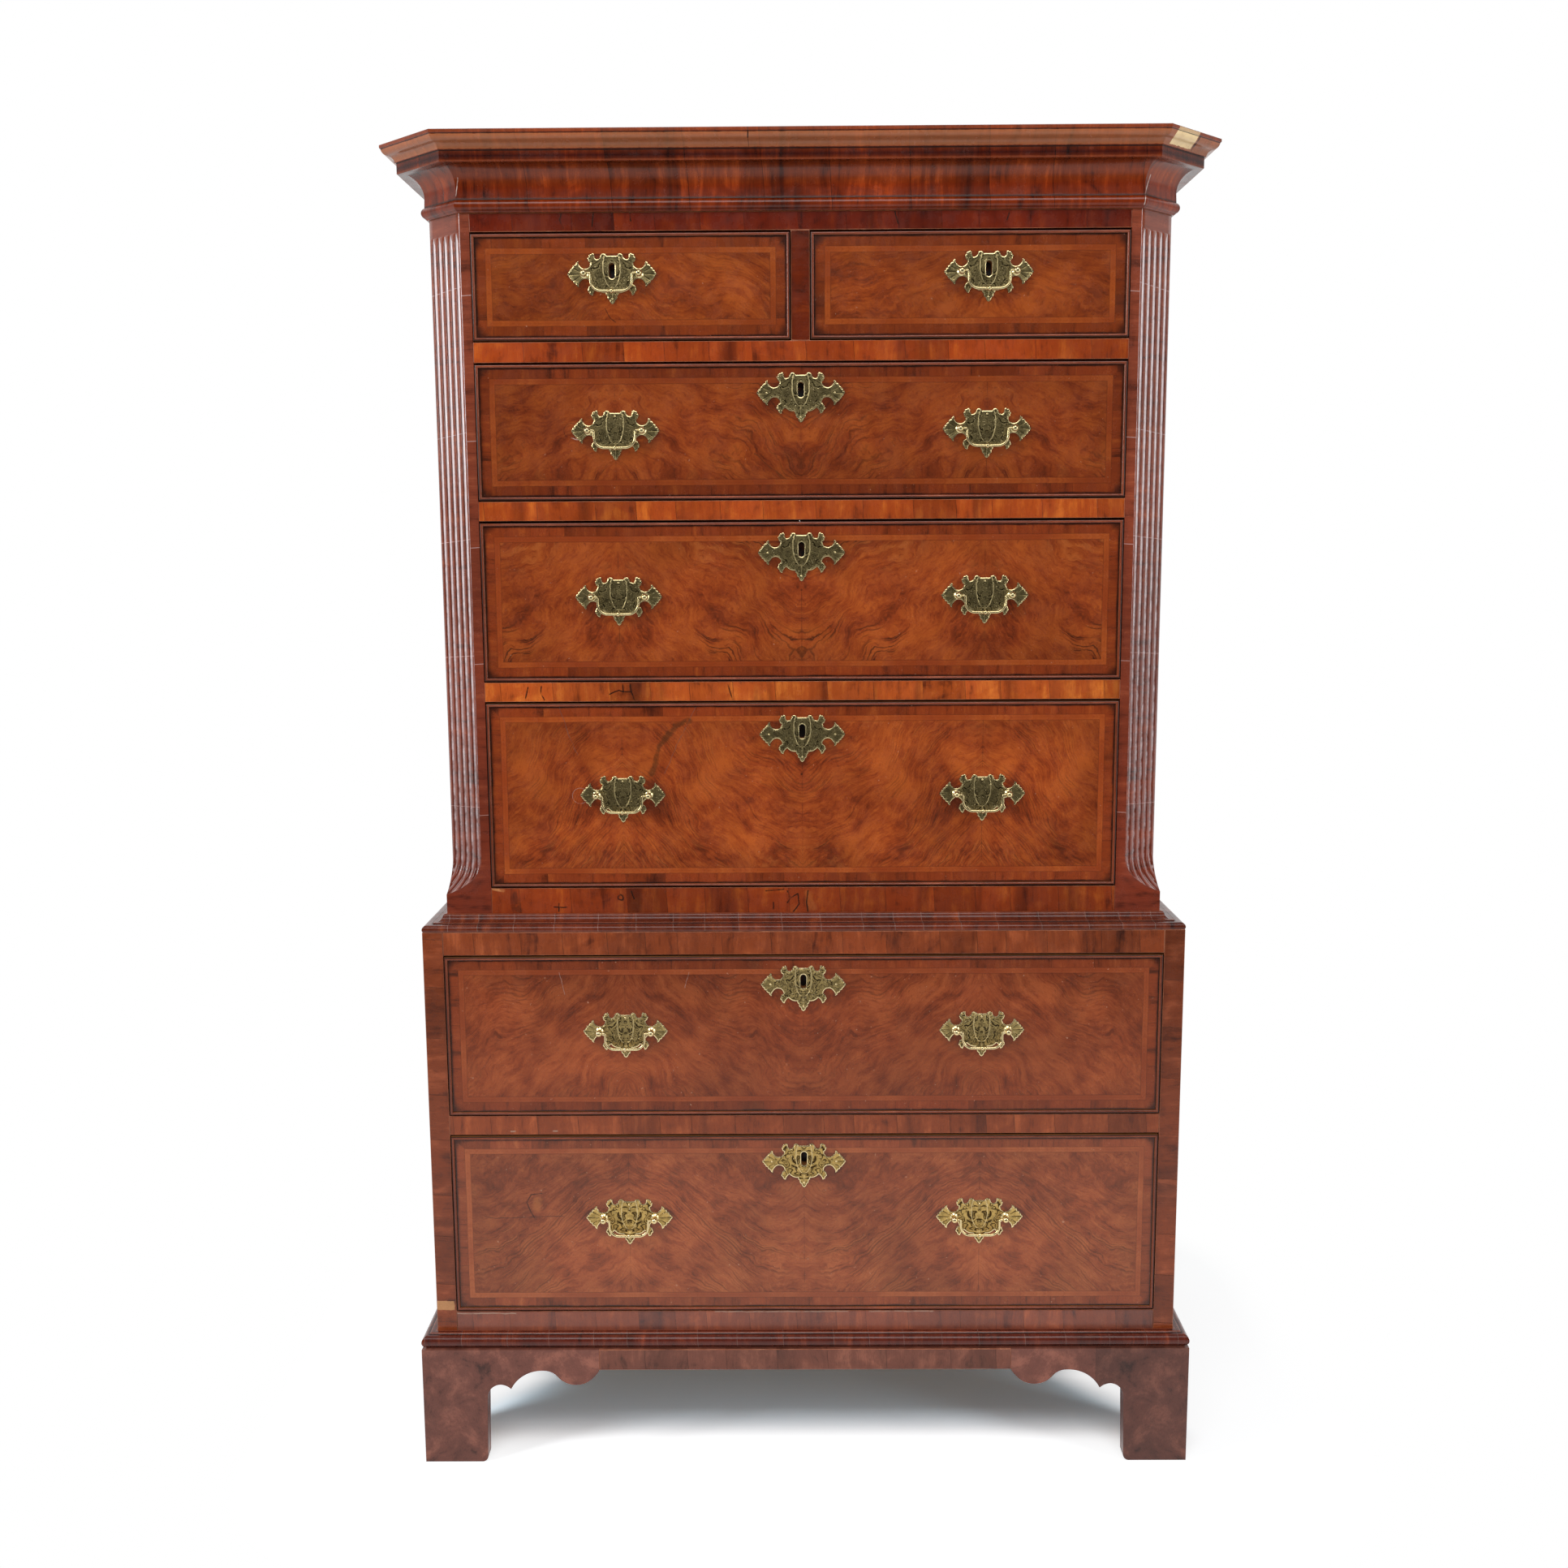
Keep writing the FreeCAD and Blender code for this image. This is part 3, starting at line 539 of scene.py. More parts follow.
class Graph:
    """A node tree that is being wired."""

    def __init__(self, tree: Tree) -> None:
        """Starts on an empty tree."""
        self.tree = tree
        tree.nodes.clear()

    def add(self, kind: str, **settings: object) -> bpy.types.Node:
        """Adds a node of a kind and sets its options."""
        node = self.tree.nodes.new(kind)
        for key, value in settings.items():
            setattr(node, key, value)
        return node

    def feed(self, socket: bpy.types.NodeSocket, value: Value) -> None:
        """Links a socket, or sets its default value; a hex code stands for its colour."""
        if isinstance(value, Wire):
            self.tree.links.new(value.socket, socket)
        else:
            socket.default_value = srgb(value) if isinstance(value, str) else value

    def make(self, kind: str, inputs: dict[int | str, Value], out: int | str = 0,
             **settings: object) -> Wire:
        """Adds a node, feeds its inputs by place or name, and gives one of its outputs."""
        node = self.add(kind, **settings)
        for key, value in inputs.items():
            self.feed(node.inputs[key], value)
        return Wire(self, node.outputs[out])

    def read(self, kind: str, out: str, **settings: object) -> Wire:
        """One output of a node that has no inputs."""
        return self.make(kind, {}, out, **settings)

    def here(self) -> Wire:
        """The place on the piece, in metres."""
        return self.read("ShaderNodeTexCoord", "Object")

    def ray(self, kind: str) -> Wire:
        """Whether a surface is met by a ray of a kind, such as Camera or Glossy."""
        return self.read("ShaderNodeLightPath", f"Is {kind} Ray")

    def math(self, operation: str, *values: Value) -> Wire:
        """A Math node."""
        return self.make("ShaderNodeMath", dict(enumerate(values)), operation=operation)

    def vector(self, operation: str, *values: Value, out: int | str = 0) -> Wire:
        """A Vector Math node."""
        return self.make("ShaderNodeVectorMath", dict(enumerate(values)), out, operation=operation)

    def scale(self, vector: Value, factor: Value) -> Wire:
        """A vector times a number."""
        return self.make("ShaderNodeVectorMath", {0: vector, "Scale": factor}, operation="SCALE")

    def shifted(self, vector: Value, seed: Value) -> Wire:
        """A vector moved along by a seed."""
        move = self.vector("MULTIPLY", self.join(seed, seed, seed), (1.7, 2.3, 3.1))
        return self.vector("ADD", vector, move)

    def darken(self, colour: Value, factor: Value) -> Wire:
        """A colour times a number."""
        return self.mix(1, colour, self.join(factor, factor, factor), "MULTIPLY")

    def split(self, vector: Value) -> list[Wire]:
        """The three components of a vector."""
        node = self.make("ShaderNodeSeparateXYZ", {0: vector}).socket.node
        return [Wire(self, socket) for socket in node.outputs]

    def join(self, x: Value, y: Value, z: Value = 0.0) -> Wire:
        """A vector of three components."""
        return self.make("ShaderNodeCombineXYZ", {0: x, 1: y, 2: z})

    def smooth(self, value: Value, start: Value, end: Value, low: float = 0.0,
               high: float = 1.0) -> Wire:
        """A smooth step of a value from low at start to high at end."""
        inputs = {0: value, 1: start, 2: end, 3: low, 4: high}
        return self.make("ShaderNodeMapRange", inputs, interpolation_type="SMOOTHSTEP")

    def mix(self, factor: Value, a: Value, b: Value, mode: str = "MIX") -> Wire:
        """Two colours mixed."""
        return self.make("ShaderNodeMix", {0: factor, 6: a, 7: b}, 2, data_type="RGBA",
                         blend_type=mode)

    def lerp(self, factor: Value, a: Value, b: Value) -> Wire:
        """Two numbers mixed."""
        return self.make("ShaderNodeMix", {0: factor, 2: a, 3: b}, data_type="FLOAT")

    def swing(self, factor: Value, a: Value, b: Value) -> Wire:
        """Two vectors mixed."""
        return self.make("ShaderNodeMix", {0: factor, 4: a, 5: b}, 1, data_type="VECTOR")

    def noise(self, vector: Value, scale: Value, detail: float = 2.0, roughness: float = 0.5,
              distortion: float = 0.0) -> Wire:
        """Fractal noise between 0 and 1."""
        return self.make("ShaderNodeTexNoise", {
            "Vector": vector, "Scale": scale, "Detail": detail, "Roughness": roughness,
            "Distortion": distortion})

    def bump(self, height: Value, distance: float, strength: float) -> Wire:
        """A normal that a height pattern has bent."""
        return self.make("ShaderNodeBump", {
            "Height": height, "Distance": distance, "Strength": strength})

    def place(self, group: Tree, **values: Value) -> dict[str, Wire]:
        """The outputs of a node group; underscores in its inputs' names stand for spaces."""
        node = self.add("ShaderNodeGroup", node_tree=group)
        for key, value in values.items():
            self.feed(node.inputs[key.replace("_", " ")], value)
        return {socket.name: Wire(self, socket) for socket in node.outputs}

    def surface(self, shader: Wire) -> None:
        """Ends the material's tree with a shader."""
        self.feed(self.add("ShaderNodeOutputMaterial").inputs["Surface"], shader)


KINDS = {1: "NodeSocketFloat", 3: "NodeSocketVector", 4: "NodeSocketColor"}


def group(name: str, inputs: dict[str, Value], outputs: dict[str, int]
          ) -> tuple[Graph, Callable[[str], Wire], Callable[[str, Value], None]]:
    """Starts a shader node group.

    Args:
        name: the group's name.
        inputs: default of each input: a number, a vector or a hex colour.
        outputs: size of each output: 1 for a number, 3 for a vector and 4 for a colour.

    Returns:
        The graph, a function that gives an input, and one that sets an output.
    """
    tree = bpy.data.node_groups.new(name, "ShaderNodeTree")
    graph = Graph(tree)
    for key, value in inputs.items():
        size = {str: 4, tuple: 3}.get(type(value), 1)
        socket = tree.interface.new_socket(key, in_out="INPUT", socket_type=KINDS[size])
        socket.default_value = srgb(value) if size == 4 else value
    for key, size in outputs.items():
        tree.interface.new_socket(key, in_out="OUTPUT", socket_type=KINDS[size])
    entry, leave = graph.add("NodeGroupInput"), graph.add("NodeGroupOutput")

    return (graph, lambda key: Wire(graph, entry.outputs[key]),
            lambda key, value: graph.feed(leave.inputs[key], value))


@cache
def walnut_group() -> Tree:
    """Walnut: stripes, streaks, mottle, fibres and pores along a grain.

    The grain runs along Y of the vector.  X is stretched into stripes after slow noise has
    pushed it aside, so that the stripes wander.
    """
    g, get, put = group("walnut", {
        "Vector": (0, 0, 0), "Seed": 0, "Across": 60, "Stretch": 0.1, "Wander": 0.01,
        "Mottle": 0.5, "Streaks": 0.5, "Pale": "b0703a", "Mid": "86431f",
        "Dark": "4a2410"}, {"Color": 4, "Height": 1})
    place = g.shifted(get("Vector"), get("Seed"))
    x, y, z = g.split(place)
    slow = g.noise(place, 7, 3) - 0.5
    aside = x + slow * get("Wander")
    across = aside * get("Across")
    along = y * get("Across") * get("Stretch")
    grain = g.join(across, along, z * get("Across"))
    stripe = g.noise(grain, 1, 6, 0.62)
    broad = g.noise(g.vector("ADD", grain, (7.3, 1.1, 4.4)), 0.3, 3, 0.55)
    fibre = g.noise(g.vector("MULTIPLY", grain, (11, 9, 11)), 1)
    pores = g.smooth(g.noise(g.vector("MULTIPLY", grain, (17, 14, 17)), 1, 1), 0.6, 0.72)
    mottle = g.noise(place, 26, 4, 0.6, 0.8)
    tone = stripe * 0.62 + fibre * 0.16
    tone = tone + (mottle - 0.4) * get("Mottle")
    colour = g.mix(g.smooth(tone, 0.42, 0.66), get("Mid"), get("Pale"))
    colour = g.mix(g.smooth(tone, 0.42, 0.22), colour, get("Dark"))
    streak = g.smooth(broad, 0.54, 0.74) * get("Streaks")
    colour = g.mix(streak, colour, get("Dark"))
    colour = g.mix(pores * 0.35, colour, get("Dark"))
    put("Color", colour)
    put("Height", stripe + fibre * 0.4 - pores * 0.6)
    return g.tree


@cache
def figure_group() -> Tree:
    """Figured walnut, mirrored at the seams between its leaves.

    The grain falls away on both sides of a seam.  Two noises push it aside: the slow one gives
    the sweep of the figure and the quick one its curl.  The tone is half cloud and half stroke.
    Flames are short pale strokes along the grain.  Veins are level lines of a calmer pushed
    coordinate, kept only in long bundles.
    """
    g, get, put = group("figured_walnut", {
        "Vector": (0, 0, 0), "Seed": 0, "Sweep": 0.8, "Curl": 0.5, "Flames": 0.5,
        "Veins": 0.5, "Bright": "c8763c", "Pale": "ab5426", "Mid": "853818",
        "Dark": "4b1f0d"}, {"Color": 4, "Height": 1})
    seed = get("Seed")
    place = g.shifted(get("Vector"), seed)
    fold, rise, deep = g.split(get("Vector"))
    slow = g.noise(place, 7) - 0.5
    quick = g.noise(place, 30, 3, 0.6) - 0.5
    bowl = g.math("SQRT", fold * fold + 0.0009)
    calm = rise - bowl * get("Sweep") + slow * 0.16
    curl = quick * get("Curl") * 0.04
    across = calm + curl
    along = fold + rise * get("Sweep")
    grain = g.join(across + seed, along * 0.3, deep)
    cloud = g.noise(g.vector("ADD", place, g.join(slow * 0.05, 0)), 16, 6, 0.68)
    stroke = g.noise(grain, 48, 8, 0.74)
    fibre = g.noise(g.join(across, along * 0.1, seed), 330, 3)
    tone = cloud * 0.4 + stroke * 0.42 + fibre * 0.18
    colour = g.mix(g.smooth(tone, 0.44, 0.6), get("Mid"), get("Pale"))
    colour = g.mix(g.smooth(tone, 0.49, 0.36, 0, 0.75), colour, get("Dark"))
    lit = g.smooth(g.noise(g.vector("ADD", grain, (4.1, 2.2, 0.7)), 95, 4, 0.6), 0.5, 0.68)
    where = g.smooth(g.noise(g.vector("ADD", place, (1.3, 0.4, 2.2)), 9), 0.46, 0.64)
    colour = g.mix(lit * where * get("Flames"), colour, get("Bright"))
    ripple = (g.noise(place, 62) - 0.5) * 0.009
    course = calm + curl * 0.35 + ripple
    loose = g.join(course + seed, along * 0.3, 0.7)
    bundle = g.smooth(g.noise(loose, 15), 0.5, 0.6)
    broken = g.smooth(g.noise(g.join(course * 3, along, seed), 26), 0.38, 0.54)
    fine = g.math("PINGPONG", course * 150, 0.5)
    bold = g.math("PINGPONG", course * 47, 0.5)
    lines = g.math("MAXIMUM", g.smooth(fine, 0.2, 0.02, 0, 0.8), g.smooth(bold, 0.075, 0.01))
    veins = lines * bundle * (broken * get("Veins"))
    colour = g.mix(veins, colour, "34190c")
    pores = g.smooth(g.noise(grain, 700, 1), 0.58, 0.7)
    colour = g.mix(pores * 0.3, colour, get("Dark"))
    put("Color", colour)
    put("Height", stroke - veins - pores * 0.5)
    return g.tree


@cache
def mark_group() -> Tree:
    """The mask of a wandering line between two ends, or of a ring round one point.

    The distance to the line is the length of what is left of a point's offset from the start once
    its share along the line is taken off; a ring's radius is then taken from it.
    """
    g, get, put = group(
        "mark", {"Vector": (0, 0, 0), "Start": (0, 0, 0), "End": (0, 0, 0), "Width": 0.001,
        "Radius": 0, "Wander": 0.005}, {"Mask": 1})
    x, _, z = g.split(get("Vector"))
    push, lift = (
        (g.noise(g.vector("ADD", get("Vector"), (a, a, a)), 75) - 0.5) * get("Wander")
        for a in (0, 5))
    flat = g.join(x + push, 0, z + lift)
    way = g.vector("SUBTRACT", get("End"), get("Start"))
    off = g.vector("SUBTRACT", flat, get("Start"))
    along, square = (g.vector("DOT_PRODUCT", part, way, out="Value") for part in (off, way))
    share = along / (square + 1e-9)
    share = g.math("MINIMUM", g.math("MAXIMUM", share, 0), 1)
    near = g.vector("LENGTH", g.vector("SUBTRACT", off, g.scale(way, share)), out="Value")
    away = abs(near - get("Radius"))
    worn = g.smooth(g.noise(get("Vector"), 120), 0.32, 0.5, 0.35, 1)
    put("Mask", g.smooth(away, get("Width"), get("Width") * 0.3) * worn)
    return g.tree


@cache
def leaves_group() -> Tree:
    """Leaves of veneer side by side: a tint and a shift for each, and the joints between."""
    g, get, put = group(
        "veneer_leaves", {"Run": 0, "Wobble": 0, "Width": 0.05, "Seed": 0, "Joint": 0.0004},
        {"Tint": 1, "Shift": 1, "Joint": 1})
    run = get("Run") + get("Wobble") * 0.06
    scale = 1 / get("Width")
    at = run * scale + get("Seed") * 7.7
    kind, inputs = "ShaderNodeTexVoronoi", {"W": at, "Scale": 1.0, "Randomness": 0.75}
    cell = g.make(kind, inputs, "Color", voronoi_dimensions="1D", feature="F1")
    edge = g.make(kind, inputs, "Distance", voronoi_dimensions="1D", feature="DISTANCE_TO_EDGE")
    tint, shift, _ = g.split(cell)
    put("Tint", tint)
    put("Shift", shift)
    width = get("Joint") * scale
    put("Joint", g.smooth(edge, width, width * 0.3))
    return g.tree


@cache
def worn_group() -> Tree:
    """Handling and dirt: pale outer corners and dark inner ones, broken up by noise. Where a piece
    sets its wear for it, the pale colour paints highlights and the dark one paints shade.
    """
    g, get, put = group("worn_edges", {
        "Color": "86431f", "Roughness": 0.3, "Wear": 0, "Rubbed": "b98468",
        "Dirt": "1a0d08", "Amount": 0.6, "Vector": (0, 0, 0)},
        {"Color": 4, "Roughness": 1, "Clean": 1})
    patchy = g.noise(get("Vector"), 90, 4, 0.65)
    rubbed = g.smooth(get("Wear") + patchy * 0.7, 0.6, 1.25) * get("Amount")
    # Dark inner corners: dirt, and painted shade where a piece sets its wear negative for it, as on
    # the flute walls and the cock-bead flanks.
    dirt_and_shade = g.smooth(patchy * 0.4 - get("Wear"), 0.3, 1) * 0.85
    colour = g.mix(rubbed, get("Color"), get("Rubbed"))
    put("Color", g.mix(dirt_and_shade, colour, get("Dirt")))
    put("Clean", 1 - dirt_and_shade)
    rough = get("Roughness") + rubbed * 0.12
    put("Roughness", rough + dirt_and_shade * 0.15)
    return g.tree


@cache
def front_group() -> Tree:
    """Layout of a veneered drawer front, from the distance to its nearest edge.

    With dx and dz the distances from the upright and the level edges, the strip belongs to the
    nearer edge, so that bands meet in a mitre.  Each strip's grain vector has X across the grain.
    """
    g, get, put = group(
        "front_layout", {"Vector": (0, 0, 0), "Centre X": 0, "Centre Z": 0, "Half X": 0.4,
        "Half Z": 0.1, "Leaf": HANDLE_X}, {"Edge": 1, "Corner": 1, "Strip": 3, "Leaf Place": 3,
        "Band": 1, "Line": 1, "Field": 1, "Feather": 3})
    x, y, z = g.split(get("Vector"))
    wander = (g.noise(get("Vector"), 14, 1) - 0.5) * 0.0012
    fx = x - get("Centre X")
    fz = z - get("Centre Z")
    dx = get("Half X") - abs(fx) + wander
    dz = get("Half Z") - abs(fz) + wander
    upright = g.math("LESS_THAN", dx, dz)
    edge = g.math("MINIMUM", dx, dz)
    put("Edge", edge)
    put("Corner", dx + dz)
    run = g.lerp(upright, x, z)
    put("Strip", g.join(run, edge, y))
    fold = g.math("PINGPONG", x, get("Leaf"))
    put("Leaf Place", g.join(fold, fz, y))
    inner, outer = 25.3 * MM, 17.7 * MM
    step = 0.5 * MM
    band = g.smooth(edge, outer - step, outer + step) * g.smooth(edge, inner + step, inner - step)
    put("Band", band)
    put("Field", g.smooth(edge, inner - step, inner + step))
    middle = (inner + outer) / 2
    side = abs(edge - middle)
    rule = g.smooth(abs(side - (inner - outer) / 2), 0.7 * MM, 0.15 * MM)
    heart = g.smooth(side, 0.35 * MM, 0.05 * MM)
    put("Line", g.math("MAXIMUM", rule, heart * 0.55))
    slant = run + side
    put("Feather", g.join(slant, run - side, y))
    return g.tree


@cache
def engraving_group() -> Tree:
    """Engraved foliage on brass, mirrored about the middle of a plate.

    Contour lines of smooth noise make flowing stems, rings of small cells make punched dots, two
    bowed lines follow the shield in the middle, and rays cross the wings.
    """
    g, get, put = group("engraving", {"Vector": (0, 0, 0), "Size": 1, "Bold": 1}, {
        "Cut": 1, "Relief": 1})
    x, y, z = g.split(get("Vector"))
    fold = g.math("SQRT", x * x + 2e-7)
    place = g.scale(g.join(fold, y, z), get("Size"))
    leaf = g.noise(place, 95, 1, 0.4, 0.7)
    stem = g.math("PINGPONG", leaf * 5.5, 0.5)
    stems = g.smooth(stem, get("Bold") * 0.2, get("Bold") * 0.05)
    vein = g.math("PINGPONG", g.noise(g.vector("ADD", place, (0.3, 0.1, 0)), 210, 2, 0.5, 0.5) * 6,
                  0.5)
    veins = g.smooth(vein, 0.13, 0.03) * g.smooth(leaf, 0.45, 0.55)
    cells = {"Vector": place, "Scale": 420.0}
    dots = g.make("ShaderNodeTexVoronoi", cells, "Distance", feature="F1")
    dot = g.smooth(dots, 0.3, 0.2) * g.smooth(leaf, 0.56, 0.5)
    height = (y - 8 * MM) * 40
    bow = g.math("SQRT", g.math("MAXIMUM", 1 - height * height, 0))
    ribs = g.smooth(abs(fold - bow * (11 * MM)), 0.9 * MM, 0.3 * MM)
    turn = g.math("ARCTAN2", y, fold - 36 * MM)
    rays = g.smooth(abs(g.math("SINE", turn * 6)), 0.35, 0.1)
    rays = rays * g.smooth(fold, 40 * MM, 43 * MM)
    inner = g.smooth(fold, 41 * MM, 38 * MM)
    cut = g.math("MAXIMUM", g.math("MAXIMUM", stems, veins), dot * 0.7)
    cut = g.math("MAXIMUM", cut * inner, rays)
    cut = cut * (1 - ribs)
    put("Cut", cut)
    put("Relief", 1 - cut + ribs * 0.8)
    return g.tree


@cache
def dust_group() -> Tree:
    """Dust that lies on faces that look up, thicker in patches."""
    g, get, put = group("dust", {"Color": "86431f", "Amount": 0.5}, {"Color": 4, "Mask": 1})
    _, _, up = g.split(g.read("ShaderNodeNewGeometry", "Normal"))
    patchy = g.noise(g.here(), 14, 5, 0.7)
    mask = g.smooth(up, 0.5, 0.95) * g.smooth(patchy, 0.3, 0.7) * get("Amount")
    put("Color", g.mix(mask, get("Color"), "a79a8c"))
    put("Mask", mask)
    return g.tree


# --- finishes
class Grain(Enum):
    """How a wood lies: the axes across the grain, along it and into the wood."""

    UPRIGHT = "xzy"  # across the front, with the grain standing up
    LEVEL = "zxy"  # down the front, with the grain lying level
    SIDE = "yzx"  # on the sides of a case, standing
    UV = "uv"  # along the piece's own pattern coordinates
    BY_FACE = "face"  # boards, with the grain along the longest way of each face


@dataclass(frozen=True)
class Mark:
    """A broken line or a ring on the front: a crack, scratch, stain or painted shadow.  Sizes are
    millimetres.

    Attributes:
        points: (x, z) of its corners; a single one is the middle of a ring.
        width: half its width.
        colour: its hex colour.
        strength: how much it covers.
        radius: the ring's radius.
        wander: how far it strays from its line.
    """

    points: tuple[Point, ...]
    width: float = 0.6
    colour: str = "24120a"
    strength: float = 0.85
    radius: float = 0.0
    wander: float = 4.0

    def mask(self, g: Graph, place: Value) -> Wire:
        """Where the mark covers the wood."""
        pairs = list(zip(self.points, self.points[1:])) or [(self.points[0], self.points[0])]
        whole: Value = 0.0
        for (a, b), (c, d) in pairs:
            line = g.place(
                mark_group(), Vector=place, Start=(a * MM, 0, b * MM), End=(c * MM, 0, d * MM),
                Width=self.width * MM, Radius=self.radius * MM, Wander=self.wander * MM)
            whole = g.math("MAXIMUM", whole, line["Mask"])
        return whole * self.strength


@dataclass(frozen=True)
class Patch:
    """A four-cornered patch on the front: other wood, painted shade or painted light.  Sizes are
    millimetres.

    Attributes:
        low, high: (x, z) of its lowest and highest corner.
        slant: how far it leans to the right for each millimetre up.
        colour: its hex colour.
        strength: how much it covers.
        back: how far back it reaches.
    """

    low: Point
    high: Point
    slant: float = 0.0
    colour: str = "b08468"
    strength: float = 0.9
    back: float = 1000.0

    def mask(self, g: Graph, place: Value) -> Wire:
        """Where the patch covers the wood: the product of four soft steps."""
        x, y, z = g.split(place)
        rough = (g.noise(place, 160, 3) - 0.5) * (2.5 * MM)
        up = z + rough - self.low[1] * MM
        right = x + rough - self.low[0] * MM
        right = right - up * self.slant
        whole: Value = g.smooth(y, self.back * MM, (self.back - 1) * MM, 0, self.strength)
        for value, reach in ((up, self.high[1] - self.low[1]), (right, self.high[0] - self.low[0])):
            whole = whole * g.smooth(value, 0, 0.6 * MM)
            whole = whole * g.smooth(value, reach * MM, (reach - 0.6) * MM)
        return whole * g.smooth(g.noise(place, 70, 4, 0.7), 0.2, 0.6, 0.75, 1)


def marked(g: Graph, place: Value, colour: Value, marks: Sequence[Mark | Patch]) -> Value:
    """A colour with marks over it."""
    for mark in marks:
        colour = g.mix(mark.mask(g, place), colour, mark.colour)
    return colour


@dataclass(frozen=True)
class Wood:
    """A wood finish; its colours are hex codes.

    Attributes:
        name: the material's name.
        pale, mid, dark: colours of the figure.
        grain: how the grain lies.
        across: stripes per metre across the grain.
        stretch: how much slower the pattern changes along the grain.
        wander: how far the stripes wander, in metres.
        mottle, streaks: strength of the clouds and of the dark streaks.
        leaf: width of a leaf of veneer, or 0 for solid wood.
        rough, gloss: roughness of the polish and weight of the clear coat.
        rubbed: colour of the rubbed corners; on the fluted corners it is near white and paints the
            flutes' highlights.
        tint: how much the leaves differ.
        seed: shift of the pattern.
        dust: how dusty the upper faces are.
        joint, seam: colour of a joint between leaves, and half its width in millimetres.
        levels: heights, and the colours that the wood is multiplied by there; on the cornice and the
            upper rails some of them paint shade.
        marks: cracks, chips, scratches and patches, some of which are painted shade and painted light.
        blur: roughness of the clear coat.
        worn: how much the rubbed colour covers.
    """

    name: str
    pale: str
    mid: str
    dark: str
    grain: Grain = Grain.UPRIGHT
    across: float = 60.0
    stretch: float = 0.1
    wander: float = 0.02
    mottle: float = 0.45
    streaks: float = 0.6
    leaf: float = 0.0
    rough: float = 0.26
    gloss: float = 0.35
    rubbed: str = "b4725a"
    tint: float = 0.5
    seed: float = 0.0
    dust: float = 0.0
    joint: str = "2a130a"
    seam: float = 0.4
    levels: tuple[tuple[float, str], ...] = ()
    marks: tuple[Mark | Patch, ...] = ()
    blur: float = 0.18
    worn: float = 0.6

    def coordinates(self, g: Graph) -> Wire:
        """The vector with X across the grain and Y along it."""
        if self.grain is Grain.UV:
            return g.read("ShaderNodeTexCoord", "UV")
        x, y, z = g.split(g.here())
        if self.grain is not Grain.BY_FACE:
            axes = {"x": x, "y": y, "z": z}
            return g.join(*(axes[letter] for letter in self.grain.value))
        normal = g.split(g.read("ShaderNodeNewGeometry", "True Normal"))
        end, flat = (g.math("GREATER_THAN", abs(part), 0.7) for part in normal[1:])
        upright = g.swing(end, g.join(z, y, x), g.join(z, x, y))
        return g.swing(flat, upright, g.join(y, x, z))

    def material(self) -> Material:
        """Builds the material."""
        material, g = blank(self.name)
        place = self.coordinates(g)
        seed: Value = self.seed
        gloss: Value = self.gloss
        if self.leaf:
            across, along, _ = g.split(place)
            wobble = g.noise(place, 9) * 0.02 + along
            leaves = g.place(leaves_group(), Run=across, Wobble=wobble, Width=self.leaf,
                             Seed=self.seed, Joint=self.seam * MM)
            seed = leaves["Shift"] * 9 + self.seed
        wood = g.place(walnut_group(), Vector=place, Seed=seed, Across=self.across,
                       Stretch=self.stretch, Wander=self.wander, Mottle=self.mottle,
                       Streaks=self.streaks, Pale=self.pale, Mid=self.mid, Dark=self.dark)
        colour, height = wood["Color"], wood["Height"]
        if self.leaf:
            colour = g.darken(colour, 1 - leaves["Tint"] * self.tint)
            colour = g.mix(leaves["Joint"] * 0.75, colour, self.joint)
            height = height - leaves["Joint"] * 2.5
            gloss = (1 - leaves["Joint"]) * self.gloss
        body = g.here()
        colour = g.darken(colour, g.smooth(g.noise(body, 5), 0.25, 0.75, 0.8, 1.12))
        if self.levels:
            ramp = g.make("ShaderNodeValToRGB", {0: g.split(body)[2] * 0.5})
            stops = ramp.socket.node.color_ramp.elements
            while len(stops) < len(self.levels):
                stops.new(1.0)
            for stop, (level, code) in zip(stops, self.levels):
                stop.position, stop.color = level / 2, srgb(code)
            colour = g.mix(1, colour, ramp, "MULTIPLY")
        colour = marked(g, body, colour, self.marks)
        wear = g.read("ShaderNodeAttribute", "Fac", attribute_name="wear")
        scuff = g.noise(body, 34, 5, 0.7)
        rough = g.smooth(scuff, 0.3, 0.75, self.rough - 0.06, self.rough + 0.1)
        worn = g.place(worn_group(), Color=colour, Roughness=rough, Wear=wear,
                       Rubbed=self.rubbed, Vector=body, Amount=self.worn)
        colour, rough = worn["Color"], worn["Roughness"]
        if self.gloss:
            gloss = gloss * worn["Clean"]
        if self.dust:
            dust = g.place(dust_group(), Color=colour, Amount=self.dust)
            colour = dust["Color"]
            rough = rough + dust["Mask"] * 0.5
        polish(g, colour, rough, g.bump(height, 0.12 * MM, 0.35), gloss, self.blur)
        return material


def blank(name: str) -> tuple[Material, Graph]:
    """A new material and the graph of its empty tree."""
    material = bpy.data.materials.new(name)
    material.use_nodes = True
    return material, Graph(material.node_tree)


def polish(g: Graph, colour: Value, rough: Value, normal: Value, gloss: Value,
           blur: float = 0.18) -> None:
    """Ends a tree with polished wood: the Principled shader with a thin clear coat."""
    g.surface(g.make("ShaderNodeBsdfPrincipled", {
        "Base Color": colour, "Roughness": rough, "Normal": normal, "Specular IOR Level": 0.3,
        "Coat Weight": gloss, "Coat Roughness": blur, "Coat IOR": 1.4}))


